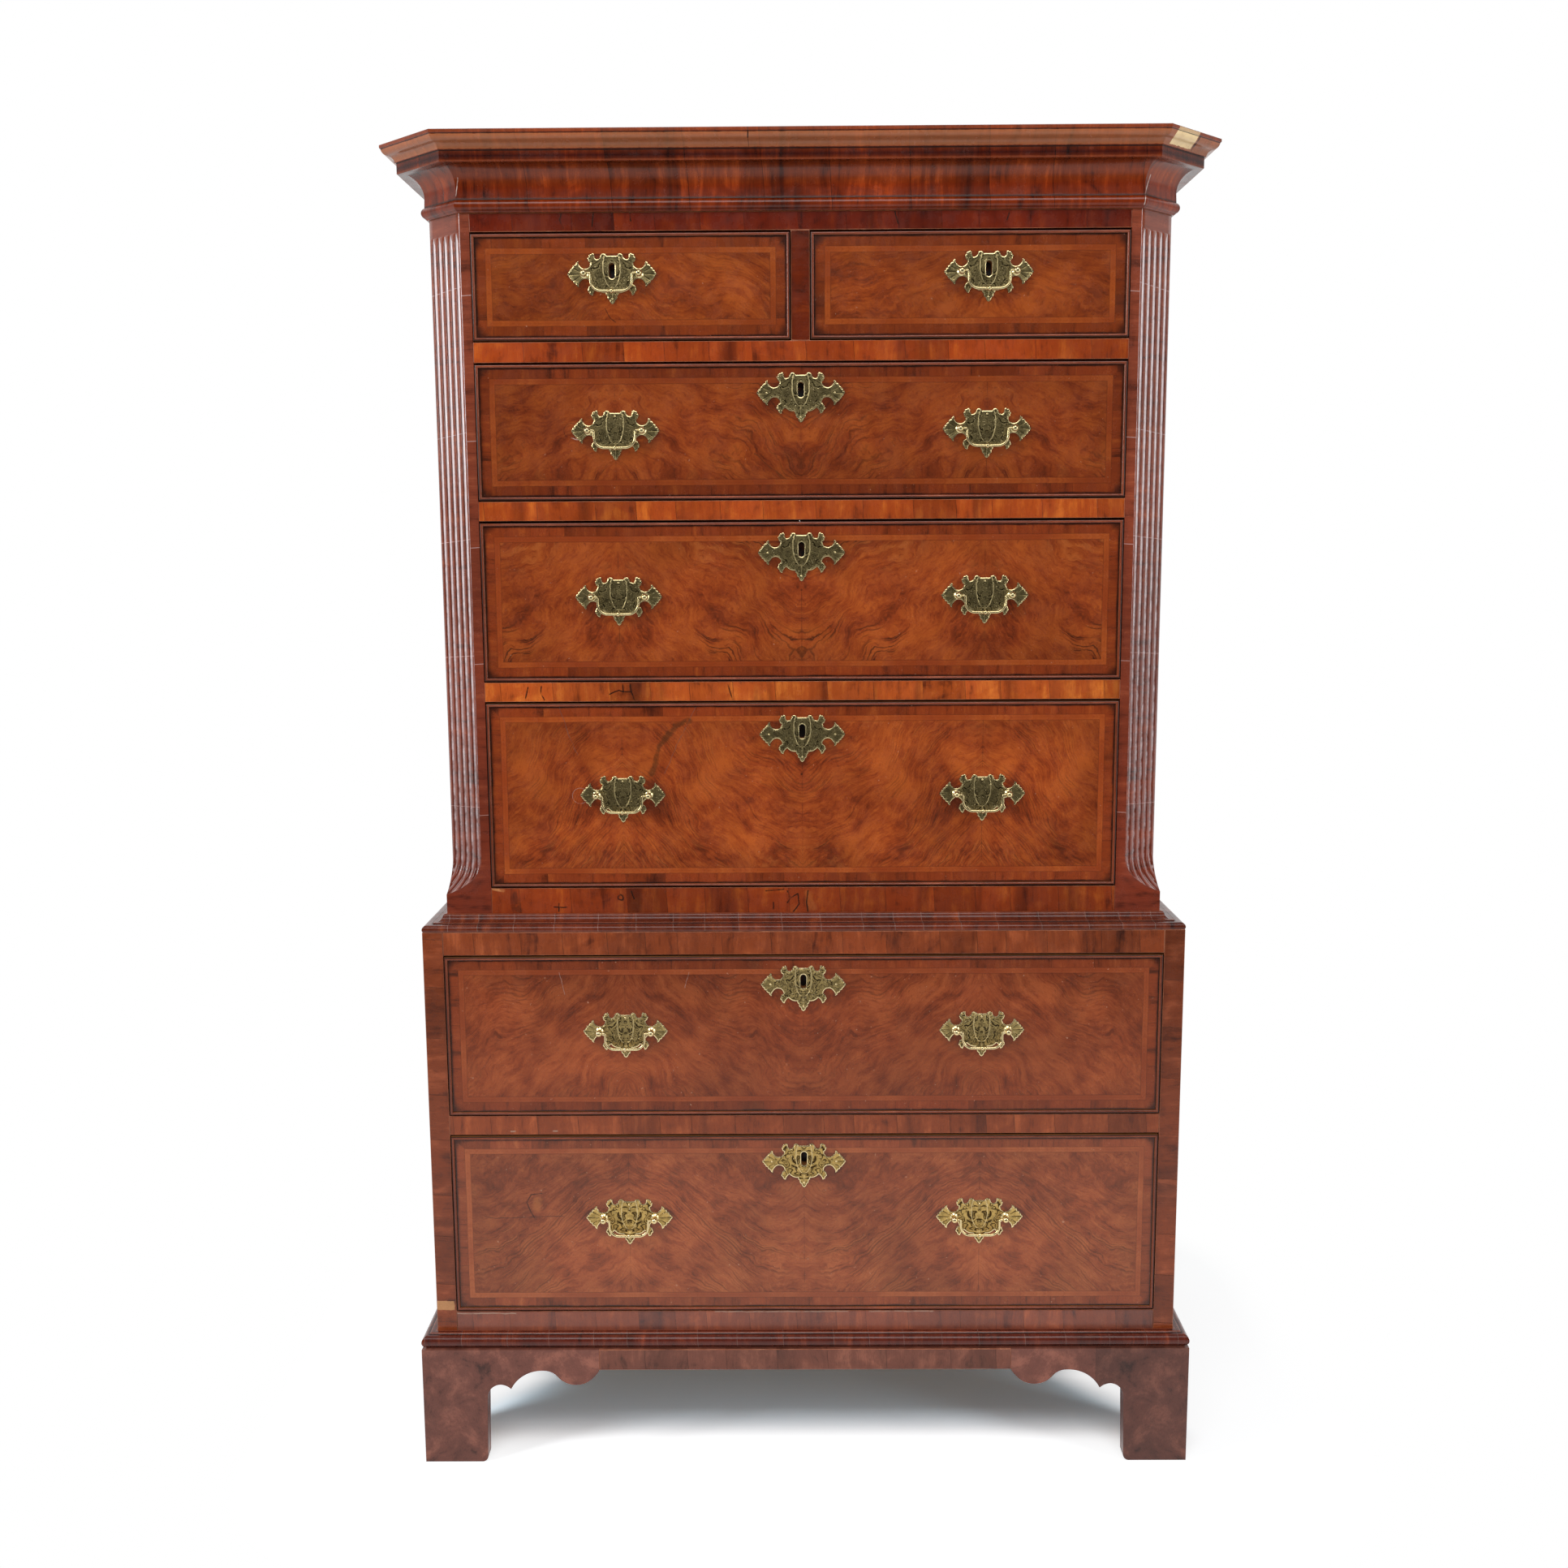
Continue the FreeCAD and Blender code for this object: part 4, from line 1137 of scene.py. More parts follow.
@dataclass(frozen=True)
class Figure:
    """How the veneer of one drawer is figured.

    Attributes:
        sweep: how steeply the grain falls away from the seams.
        curl: how much it curls.
        flames, veins: strength of the pale strokes and of the dark veins.
        clouds: how much darker its clouds are.
        shade: what its colour is multiplied by.
        marks: cracks, scratches and stains; Drawer.build adds painted shadows round the plates.
    """

    sweep: float = 0.8
    curl: float = 0.5
    flames: float = 0.5
    veins: float = 0.5
    clouds: float = 0.2
    shade: float = 1.0
    marks: tuple[Mark, ...] = ()


@dataclass(frozen=True)
class DrawerVeneer:
    """Figured walnut on a drawer front, with a feather band and a crossbanded border.

    Only the face is veneered; the plainer wood of the board shows on its edges and its back.

    Attributes:
        name: the material's name.
        low, high: lowest and highest corner of the drawer front.
        tones: bright, pale, middle and dark hex colours of the figure.
        seed: shift of the pattern.
        figure: how the veneer is figured.
    """

    name: str
    low: Array
    high: Array
    tones: tuple[str, str, str, str]
    seed: float
    figure: Figure

    def border(self, g: Graph, out: dict[str, Wire]) -> Wire:
        """The crossbanded border, in short lengths, darker beside the bead and in the corners."""
        run, _, _ = g.split(out["Strip"])
        leaves = g.place(leaves_group(), Run=run, Wobble=0, Width=0.055, Seed=self.seed + 3)
        _, pale, mid, dark = self.tones
        wood = g.place(
            walnut_group(), Vector=out["Strip"], Seed=leaves["Shift"], Across=95, Stretch=0.12,
            Wander=0.01, Mottle=0.35, Streaks=0.5, Pale=pale, Mid=mid, Dark=dark)
        colour = g.darken(wood["Color"], g.smooth(leaves["Tint"], 0, 1, 0.76, 1))
        colour = g.mix(leaves["Joint"] * 0.5, colour, "2a130a")
        ragged = g.noise(out["Strip"], 30, 3, 0.6)
        beside = g.smooth(out["Edge"] + ragged * -0.004, 0.0055, 0.0025)
        corner = g.smooth(out["Corner"] + ragged * -0.02, 0.022, 0.004)
        return g.mix(g.math("MAXIMUM", beside, corner * 0.8), colour, "27100a")

    def feather(self, g: Graph, place: Value, out: dict[str, Wire]) -> Wire:
        """The feather band: two narrow strips whose grain slants towards each other."""
        bright, pale, mid, _ = self.tones
        wood = g.place(
            walnut_group(), Vector=out["Feather"], Seed=self.seed + 5, Across=260, Stretch=0.12,
            Wander=0.004, Mottle=0.35, Streaks=0.15, Pale=bright, Mid=pale, Dark=mid)
        faded = g.smooth(g.noise(place, 13, 3), 0.36, 0.62, 0.3, 0.9)
        return g.mix(faded, wood["Color"], mid)

    def material(self) -> Material:
        """Builds the material."""
        material, g = blank(self.name)
        place = g.here()
        centre, half = (self.low + self.high) / 2, (self.high - self.low) / 2
        out = g.place(front_group(), Vector=place, Centre_X=centre[0], Centre_Z=centre[2],
                      Half_X=half[0], Half_Z=half[2])
        form = self.figure
        bright, pale, mid, dark = self.tones
        field = g.place(figure_group(), Vector=out["Leaf Place"], Seed=self.seed, Sweep=form.sweep,
                        Curl=form.curl, Flames=form.flames, Veins=form.veins, Bright=bright,
                        Pale=pale, Mid=mid, Dark=dark)
        rim = g.smooth(out["Edge"], 0.02, 0.07, 0.86, 1)
        clouds = g.smooth(g.noise(place, 6.5, 3, 0.6), 0.32, 0.66, 1 - form.clouds, 1.12)
        colour = g.darken(field["Color"], rim * clouds)
        fold, _, _ = g.split(out["Leaf Place"])
        seam = g.smooth(g.math("MINIMUM", fold, HANDLE_X - fold), 0.5 * MM, 0.1 * MM)
        colour = g.mix(seam * g.smooth(g.noise(place, 40), 0.4, 0.6, 0.1, 0.6), colour, "3a1c10")
        colour = g.mix(out["Field"], self.border(g, out), colour)
        colour = g.mix(out["Band"], colour, self.feather(g, place, out))
        colour = g.mix(out["Line"] * 0.35, colour, "32170b")
        colour = g.darken(colour, form.shade)
        specks = g.smooth(g.noise(place, 230), 0.73, 0.78)
        colour = g.mix(specks * 0.4, colour, "c99c80")
        colour = marked(g, place, colour, form.marks)
        height = field["Height"] - out["Line"] * 0.8
        ripple = g.noise(place, 15)
        normal = g.bump(height * 0.05 + ripple, 1.2 * MM, 0.35)
        rough = g.smooth(g.noise(place, 30, 5, 0.7), 0.3, 0.75, 0.2, 0.34)
        x, y, z = g.split(place)
        core = g.place(
            walnut_group(), Vector=g.join(z, x, y), Seed=self.seed, Across=70, Stretch=0.06,
            Mottle=0.2, Streaks=0.3, Pale="a8733f", Mid="85552c", Dark="4c2c18")
        facing = g.split(g.read("ShaderNodeNewGeometry", "True Normal"))[1]
        behind = g.smooth(facing, -0.8, -0.5)
        colour = g.mix(behind, colour, core["Color"])
        rough = rough + behind * 0.3
        polish(g, colour, rough, normal, g.smooth(facing, -0.5, -0.8, 0, 0.3))
        return material


class Patina(Enum):
    """Colours of a brass's ground, cuts and bright edge, which also paints highlights on its ribs and
    specks, and scale of its leaves.
    """

    OLIVE = ("93845a", "2e2616", "e2d09c", 1, 0.75)
    FINE_GILT = ("c2a96e", "32271a", "f0dcaa", 1.15, 1.1)
    LEAFY_GILT = ("d2b06a", "46341c", "f0dcaa", 0.62, 1)


@cache
def brass(patina: Patina, engraved: bool) -> Material:
    """Cast brass, engraved or plain; its wear attribute is 1 on the polished rim."""
    ground, cuts, bright, size, bold = patina.value
    material, g = blank(f"brass_{patina.name.lower()}{'_engraved' if engraved else ''}")
    place = g.here()
    wear = g.read("ShaderNodeAttribute", "Fac", attribute_name="wear")
    tarnish = g.noise(place, 120, 5, 0.65)
    colour = g.mix(g.smooth(tarnish, 0.38, 0.72, 0, 0.55), ground, cuts)
    height: Value = tarnish * 0.15
    polished = g.smooth(wear + (tarnish - 0.5) * 0.5, 0.25, 0.75)
    if engraved:
        carved = g.place(engraving_group(), Vector=g.read("ShaderNodeTexCoord", "UV"), Size=size,
                         Bold=bold)
        flat = 1 - polished
        cut = carved["Cut"] * flat
        colour = g.mix(cut, colour, cuts)
        height = height + carved["Relief"] * flat
        # Painted highlight: the raised ribs and scattered specks take the bright colour.
        ridge_and_glint_highlight = g.smooth(carved["Relief"], 1.2, 1.7) * 0.6
        glints = g.smooth(g.noise(place, 520, 1), 0.66, 0.74)
        ridge_and_glint_highlight = g.math("MAXIMUM", ridge_and_glint_highlight, glints * 0.7)
        colour = g.mix(ridge_and_glint_highlight, colour, bright)
    rubbed = polished * (0.9 if engraved else 0.8)
    colour = g.mix(rubbed, colour, bright)
    g.surface(g.make("ShaderNodeBsdfPrincipled", {
        "Base Color": colour, "Roughness": g.lerp(polished, 0.4, 0.27),
        "Normal": g.bump(height, 0.3 * MM, 0.8), "Metallic": 1}))
    return material


@cache
def iron_material() -> Material:
    """Dark forged iron with rust in patches."""
    material, g = blank("lock_iron")
    place = g.here()
    patch = g.noise(place, 60, 6, 0.7)
    grit = g.noise(place, 420, 3)
    colour = g.mix(g.smooth(patch, 0.48, 0.62), "3b3a3a", "5a2f1a")
    g.surface(g.make("ShaderNodeBsdfPrincipled", {
        "Base Color": colour, "Roughness": g.smooth(patch, 0.4, 0.65, 0.4, 0.85),
        "Metallic": g.smooth(patch, 0.6, 0.5), "Normal": g.bump(patch + grit, 0.2 * MM, 0.5)}))
    return material


# --- mouldings
CORNICE = (
    (0, 1681, 0), (3, 1681, 0), (5, 1683, -4.6), (5.5, 1696, 0), (5, 1708, 5.2),
    (24, 1735.5, 0), (36.5, 1735.5, 0), (36.5, 1749.5, 0), (38.5, 1749.5, 2),
    (46.5, 1757.5, -2), (54.5, 1765.5, 0), (56, 1766, 0), (56, 1770, 0), (0, 1770, 0))
WAIST = (
    (0, 752, 0), (27.5, 752, -3.4), (23.5, 761.2, 0), (16.5, 761.2, 0), (16.5, 762.8, 0),
    (14.5, 762.8, 2), (5.5, 768, -0.7), (2.5, 772, 0), (0, 772, 0))
BASE = (
    (0, 166, 0), (14, 166, 0), (14, 168, 0), (13.5, 168, -5.5), (13.5, 184, 0), (10, 184, 0),
    (8.5, 186, 0), (0, 186, 0))


@dataclass
class Mouldings:
    """The base, waist and cornice mouldings, veneered across the grain."""

    spacing: float = 0.03
    ripple: float = 0.25 * MM

    def three_sides(self, half: float, front: float) -> list[Point]:
        """Plan path up the left side, across the front and back down the right side."""
        return [(-half, BACK), (-half, front), (half, front), (half, BACK)]

    def run(self, name: str, outline: Sequence[Corner], plan: Sequence[Point],
            finish: Wood) -> None:
        """Sweeps one moulding and dresses it."""
        points, uv, wear = mitred_sweep(Profile.soften(outline), plan, self.spacing, self.ripple)
        shell = Shell().grid(points, uv, wear)
        shell.lid(points[0, :-1], uv[0, :-1]).lid(points[-1, :-1], uv[-1, :-1])
        piece = shell.piece(f"{name}_run", [finish.material()], "carcase", "moulding_wood")
        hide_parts(name)

    def build(self) -> None:
        """Builds the three mouldings."""
        front, half = UPPER_FRONT, UPPER_HALF
        canted = [(-half, BACK), (-half, front + CANT), (CANT - half, front), (half - CANT, front),
                  (half, front + CANT), (half, BACK)]
        common = {"grain": Grain.UV, "stretch": 0.07, "wander": 0.02, "tint": 0.26}
        mitre = {"width": 0.8, "colour": "d6c6bc", "strength": 0.75, "wander": 2.0}
        # Painted shade: the levels darken the fascia under the overhanging top moulding and tone the
        # lower members. The first patch pales the upward-facing cyma: faded veneer, brightened further
        # as painted light from above.
        self.run("cornice_moulding", CORNICE, canted, Wood(
            "cornice_veneer", "c65a20", "8a370f", "34110a", across=110, streaks=0.9, leaf=0.1, seed=1,
            gloss=0.15, rubbed="824026", worn=0.45, rough=0.22, blur=0.1, seam=0.6,
            levels=((1.6955, "dcc4bc"), (1.7085, "d8b8a8"), (1.7105, "e8c4a4"), (1.7205, "ffffff"),
                    (1.7335, "ffffff"), (1.7355, "6e4024"), (1.7487, "6e4024"), (1.7505, "f4e8e0")),
            marks=(Patch((-560, 1750), (560, 1765), 0, "b57650", 0.55),
                   Mark(((-64, 1771), (-64, 1759)), 1.3, "1c0d06", 0.95, wander=1),
                   Mark(((-64, 1759), (-63, 1748)), 0.5, "3a1c10", 0.8, wander=1),
                   Mark(((442, 1721), (435, 1698), (434, 1684)), **mitre),
                   Mark(((-431, 1722), (-435, 1701)), **mitre),
                   Patch((458, 1752), (492, 1769.5), 0.55, "f6d8a4", 1, -180),
                   Mark(((494, 1752), (504, 1769)), 1.6, "2a120a", 0.9, wander=1)), **common))
        self.run("waist_moulding", WAIST, self.three_sides(half, front), Wood(
            "waist_veneer", "93431f", "642510", "300f08", across=75, leaf=0.05, seed=2, gloss=0.22,
            joint="8e7268", rubbed="8a4a32", **common))
        self.run("base_moulding", BASE, self.three_sides(LOWER_HALF, LOWER_FRONT), Wood(
            "base_veneer", "8a3d22", "5a2013", "2c0e08", across=75, leaf=0.055, seed=3, gloss=0.25,
            joint="7c6058", rubbed="945038", **common))


# --- canted corners
@dataclass
class CantedCorners:
    """Fluted corner posts that sweep out to a square foot."""

    pitch: float = 13.05 * MM
    radius: float = 3.2 * MM
    flutes: int = 5
    tip: float = 1658 * MM
    point: float = 10 * MM
    tongue_top: float = 845 * MM
    stile: float = 12.5 * MM
    plank: float = 20 * MM
    round: float = 0.55 * MM

    def rows(self) -> tuple[Array, Array]:
        """Distance out and height of each row, from the top of the post to its foot.

        The rows follow the sweep: straight down to the tongue, an arc of 46 mm radius, a wider
        one out to the square corner, and straight down again.
        """
        top = np.concatenate([
            np.linspace(UPPER_TOP, self.tip + 2 * MM, 3), np.linspace(self.tip, self.tip
            - self.point, 7), np.linspace(self.tip - self.point, self.tongue_top, 45)[1:-1]])
        corner = CANT / math.sqrt(2) / MM
        sweep = trace([(0, 845, -2.52), (9.8, 816.6, -1.81), (corner, 798, 0), (corner, 796, 0)],
                      1.6)
        out = np.concatenate([np.zeros(len(top)), sweep[:, 0]])
        height = np.concatenate([top, sweep[:, 1]])
        keep = np.append(np.diff(height) < -1e-6, True)
        keep[len(top) + np.argmin(sweep[:, 1]):] = False
        out, height = out[keep], height[keep]
        return np.append(out, [corner * MM] * 2), np.append(height, [796 * MM, LOWER_TOP])

    def section(self, out: Array, height: Array) -> tuple[Array, Array]:
        """Offsets across the cant and depths below it, for every row.

        A flute of radius r is a half circle: at angle t it lies r cos t aside and r sin t deep.
        r shrinks to nothing along the point at the top.  Lands between flutes have rounded edges.
        """
        r = (self.radius * np.clip((self.tip - height) / self.point, 0, 1))[:, None]
        share = r / self.radius
        ease = self.round * share
        start = math.asin(self.round / self.radius)
        turn = np.linspace(math.pi - start, start, 9)[None]
        reach = (CANT / math.sqrt(2) - out)[:, None]
        corner = self.round * np.array([1, 0.3, 0])
        inset = self.round * np.array([0, 0.35, 1])
        offsets = [-reach + inset]
        depths = [np.broadcast_to(corner, (len(out), 3))]
        edge = r * math.cos(start)
        for i in range(self.flutes):
            centre = (i - (self.flutes - 1) / 2) * self.pitch
            offsets += [centre - edge - ease * np.array([[1, 0.35]]), centre + r * np.cos(turn),
                        centre + edge + ease * np.array([[0.35, 1]])]
            depths += [ease * np.array([[0, 0.3]]), r * np.sin(turn), ease * np.array([[0.3, 0]])]
        offsets.append(reach - inset[::-1])
        depths.append(np.broadcast_to(corner[::-1], (len(out), 3)))
        offset = np.clip(np.concatenate(offsets, axis=1), -reach, reach)
        fade = np.clip((reach - np.abs(offset)) / (2.5 * MM), 0, 1)
        sunk = np.concatenate(depths, axis=1)
        sunk[:, 3:-3] *= (fade * np.clip((self.tip - height) / MM, 0, 1)[:, None])[:, 3:-3]
        return offset, sunk * np.clip(reach / (3 * MM), 0, 1)

    def build(self) -> None:
        """Builds both posts."""
        out, height = self.rows()
        slope = np.arctan2(np.gradient(out), -np.gradient(height))
        slope = np.where(height > self.tongue_top + 5 * MM, 0, slope)[:, None]
        offset, depth = self.section(out, height)
        away = out[:, None] - depth * np.cos(slope)
        level = height[:, None] - depth * np.sin(slope)
        middle = np.array((UPPER_HALF - CANT / 2, UPPER_FRONT + CANT / 2))
        half = math.sqrt(0.5)
        cant_x = middle[0] + (away + offset) * half
        cant_y = middle[1] + (offset - away) * half
        inner = UPPER_HALF - CANT - self.stile
        rest = [(UPPER_HALF, UPPER_FRONT + CANT), (UPPER_HALF - self.plank, UPPER_FRONT + CANT),
                (inner, UPPER_FRONT + self.plank), (inner, UPPER_FRONT)]
        n = len(out)
        x, y = (np.concatenate([cant] + [np.full((n, 1), p[i]) for p in rest] + [cant[:, :1]], 1)
                for i, cant in enumerate((cant_x, cant_y)))
        z = np.concatenate([level] + [height[:, None]] * 4 + [level[:, :1]], 1)
        travel = np.concatenate([np.zeros((n, 1)), np.hypot(np.diff(x), np.diff(y))], 1).cumsum(1)
        uv = np.stack([z, travel], -1)
        wear = np.zeros(x.shape)
        # The wear set across each flute paints light and shade: one wall and the bottom are whitened
        # as a painted highlight, the other wall and the lip beside it are darkened as painted shade,
        # and the outer arris is whitened too. The painted highlight fades lower down the post and dies
        # away round the sweep of the tongue.
        flute = [0, 0, -0.9, -0.9, -0.6, 0.2, 0.8, 1, 1, 0.85, -0.8, -0.3, 0]
        polished = np.array([0.0, 1.0, 0.0] + flute * self.flutes + [0, 0.3, 0])
        faded = np.interp(height, (0.8, 1.1, 1.5), (0.46, 0.66, 1)) * np.clip(
            np.cos(slope[:, 0] * 2), 0, 1)
        wear[:, :offset.shape[1]] = polished * np.clip(depth / (0.15 * MM), 0, 1) * faded[:, None]
        # The near-white rubbed colour and the dirt colour here paint the flutes' highlights and shade.
        finish = Wood("corner_veneer", "a2573a", "7e3a25", "421b10", grain=Grain.UV, across=90,
                      stretch=0.09, wander=0.008, mottle=0.3, streaks=0.35, leaf=0.18, tint=0.2,
                      gloss=0.8, rough=0.22, seed=4, rubbed="efe2e4", seam=0.5, blur=0.09, worn=0.9,
                      joint="c4a8a4", levels=((0.8, "ffe4da"), (1.15, "fff4f0"), (1.4, "ffffff")))
        material = finish.material()
        for side, name in ((-1, "left"), (1, "right")):
            points = np.stack([x * side, y, z], -1)
            # The right post gets less painted highlight and shade, as it lies away from the key lamp.
            shell = Shell().grid(points, uv, wear if side < 0 else wear * 0.84)
            shell.lid(points[0, :-1], uv[0, :-1]).lid(points[-1, :-1], uv[-1, :-1])
            piece = shell.piece(f"canted_corner_{name}", [material], "carcase", "corner_wood")
            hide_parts("canted_corners")


# --- bracket feet
BRACKET = (
    (79, 0, -2.34), (87, 8, 0), (89, 97, 4.6), (107, 114.6, 1.6), (122, 108, 8.0),
    (168, 135, 2.4), (187, 126, -7.0), (226, 117, -2.2), (245, 136, 0), (245, 166, 0))
BACK_BRACKET = (
    (0, 0, 0), (64, 0, 0), (66, 70, 14.0), (127, 128, 0), (127, 166, 0), (0, 166, 0))


@dataclass
class Feet:
    """Bracket feet: front ones folded round the corner, rear ones of two boards."""

    reach: float = 19 * MM
    thick: float = 22 * MM

    def folded(self) -> list[Corner]:
        """The front bracket unfolded: its mirror image, its foot line and its own outline."""
        ends = zip(BRACKET[::-1], BRACKET[-2::-1] + ((0, 0, 0),))
        left = [(-a, b, sag) for (a, b, _), (_, _, sag) in ends]
        return [*left, (0, 0, 0), *BRACKET, (0, 166, 0)]

    def corner_place(self, side: int, inset: float) -> Placing:
        """Maps the unfolded front bracket round the corner, a distance inset into the wood."""
        outer_x, front = LOWER_HALF + self.reach, LOWER_FRONT - self.reach

        def place(flat: Array) -> Array:
            a, z = flat[:, 0], flat[:, 1]
            x = np.where(a < 0, outer_x + a, outer_x - inset)
            y = np.where(a < 0, front + inset, front + a)
            x = np.where((a < 0) & (a > -inset), outer_x - inset, x)
            y = np.where((a >= 0) & (a < inset), front + inset, y)
            return np.stack([side * x, y, z], -1)

        return place

    def flat_place(self, origin: Corner, way: Corner, inset: Corner = (0, 0, 0)) -> Placing:
        """Maps an unfolded board onto an upright plane through origin, shifted by inset."""
        start, run = np.array(origin) + inset, np.array(way)
        return lambda flat: start + flat[:, :1] * run + flat[:, 1:] * np.array((0, 0, 1.0))

    def build(self) -> None:
        """Builds the four feet."""
        # Painted shade: the patch darkens the right feet, on the side away from the key lamp.
        finish = Wood("foot_burr", "905949", "6e4035", "3f231c", grain=Grain.UV, across=44,
                      stretch=0.7, wander=0.08, mottle=0.8, streaks=0.55, rough=0.42, gloss=0.2,
                      seed=5, marks=(Patch((400, -9), (560, 180), 0, "1c1513", 0.4),))
        edge = Wood("foot_edge", "8a5440", "623626", "3a1e16", grain=Grain.UV,
                    rough=0.55, gloss=0.05, seed=5.5)
        materials = [finish.material(), edge.material()]
        outer_x = LOWER_HALF + self.reach
        for side, name in ((-1, "left"), (1, "right")):
            outer, inner = (side * outer_x, BACK, 0), (side * (outer_x - self.thick), BACK, 0)
            front, plane = self.corner_place, self.flat_place
            boards = {
                "front_foot": unfolded_board(self.folded(), [0.0], front(side, 0),
                                             front(side, self.thick)),
                "rear_foot_side": unfolded_board(
                    [(0, 0, 0), *BRACKET, (0, 166, 0)], [], plane(outer, (0, -1, 0)),
                    plane(outer, (0, -1, 0), (-side * self.thick, 0, 0))),
                "rear_foot_back": unfolded_board(
                    BACK_BRACKET, [], plane(inner, (-side, 0, 0)),
                    plane(inner, (-side, 0, 0), (0, -self.thick, 0)))}
            for label, board in boards.items():
                piece = board.piece(f"{label}_{name}", materials, "carcase", "foot_veneer")
                bevel(piece, 0.9 * MM, material=1)
                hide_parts("bracket_feet")


# --- brasses
PLATE_HALF = (
    (0, 22.8, 0), (6.6, 22.8, 0.5), (9.2, 25.4, 1.3), (14.4, 22.8, -1.3), (19.6, 18.4, -0.9),
    (22, 24.2, 1.5), (26, 24.8, 1.3), (29, 21.6, 1.2), (30, 17.6, 0.8), (27.4, 14.2, -5),
    (40.2, 9.8, -0.9), (42.4, 16, 1.1), (46.2, 12.2, 1.1), (49.8, 8.4, 1), (53, 5, 0.8),
    (55.2, 2.2, 0.5), (57, 0, 0.5), (55.2, -2.2, 0.8), (53, -4.8, 1), (49.8, -8.2, 1.1),
    (46.2, -11.8, 1.1), (42.4, -16, -0.9), (40.2, -9.4, -5.4), (26.8, -12.6, 0.9),
    (30.6, -17.4, 1.3), (29.4, -22, 1.2), (25, -26.2, -0.9), (20, -18.4, 1.6),
    (8.4, -23.4, 0.6), (6.2, -27.4, 1.1), (3.6, -32.2, 1), (0, -37.2, 0))
KEYHOLE_WIDE, KEYHOLE_HIGH, KEYHOLE_UP = 7.6, 19, 4


def plate_outline(scale: float) -> list[Corner]:
    """The whole outline of a bat-wing plate, in millimetres."""
    half = [(a * scale, b * scale, sag * scale) for a, b, sag in PLATE_HALF]
    mirrored = [(-a, b, sag) for (a, b, _), (_, _, sag) in zip(half[::-1], half[-2::-1])]
    return half[:-1] + mirrored


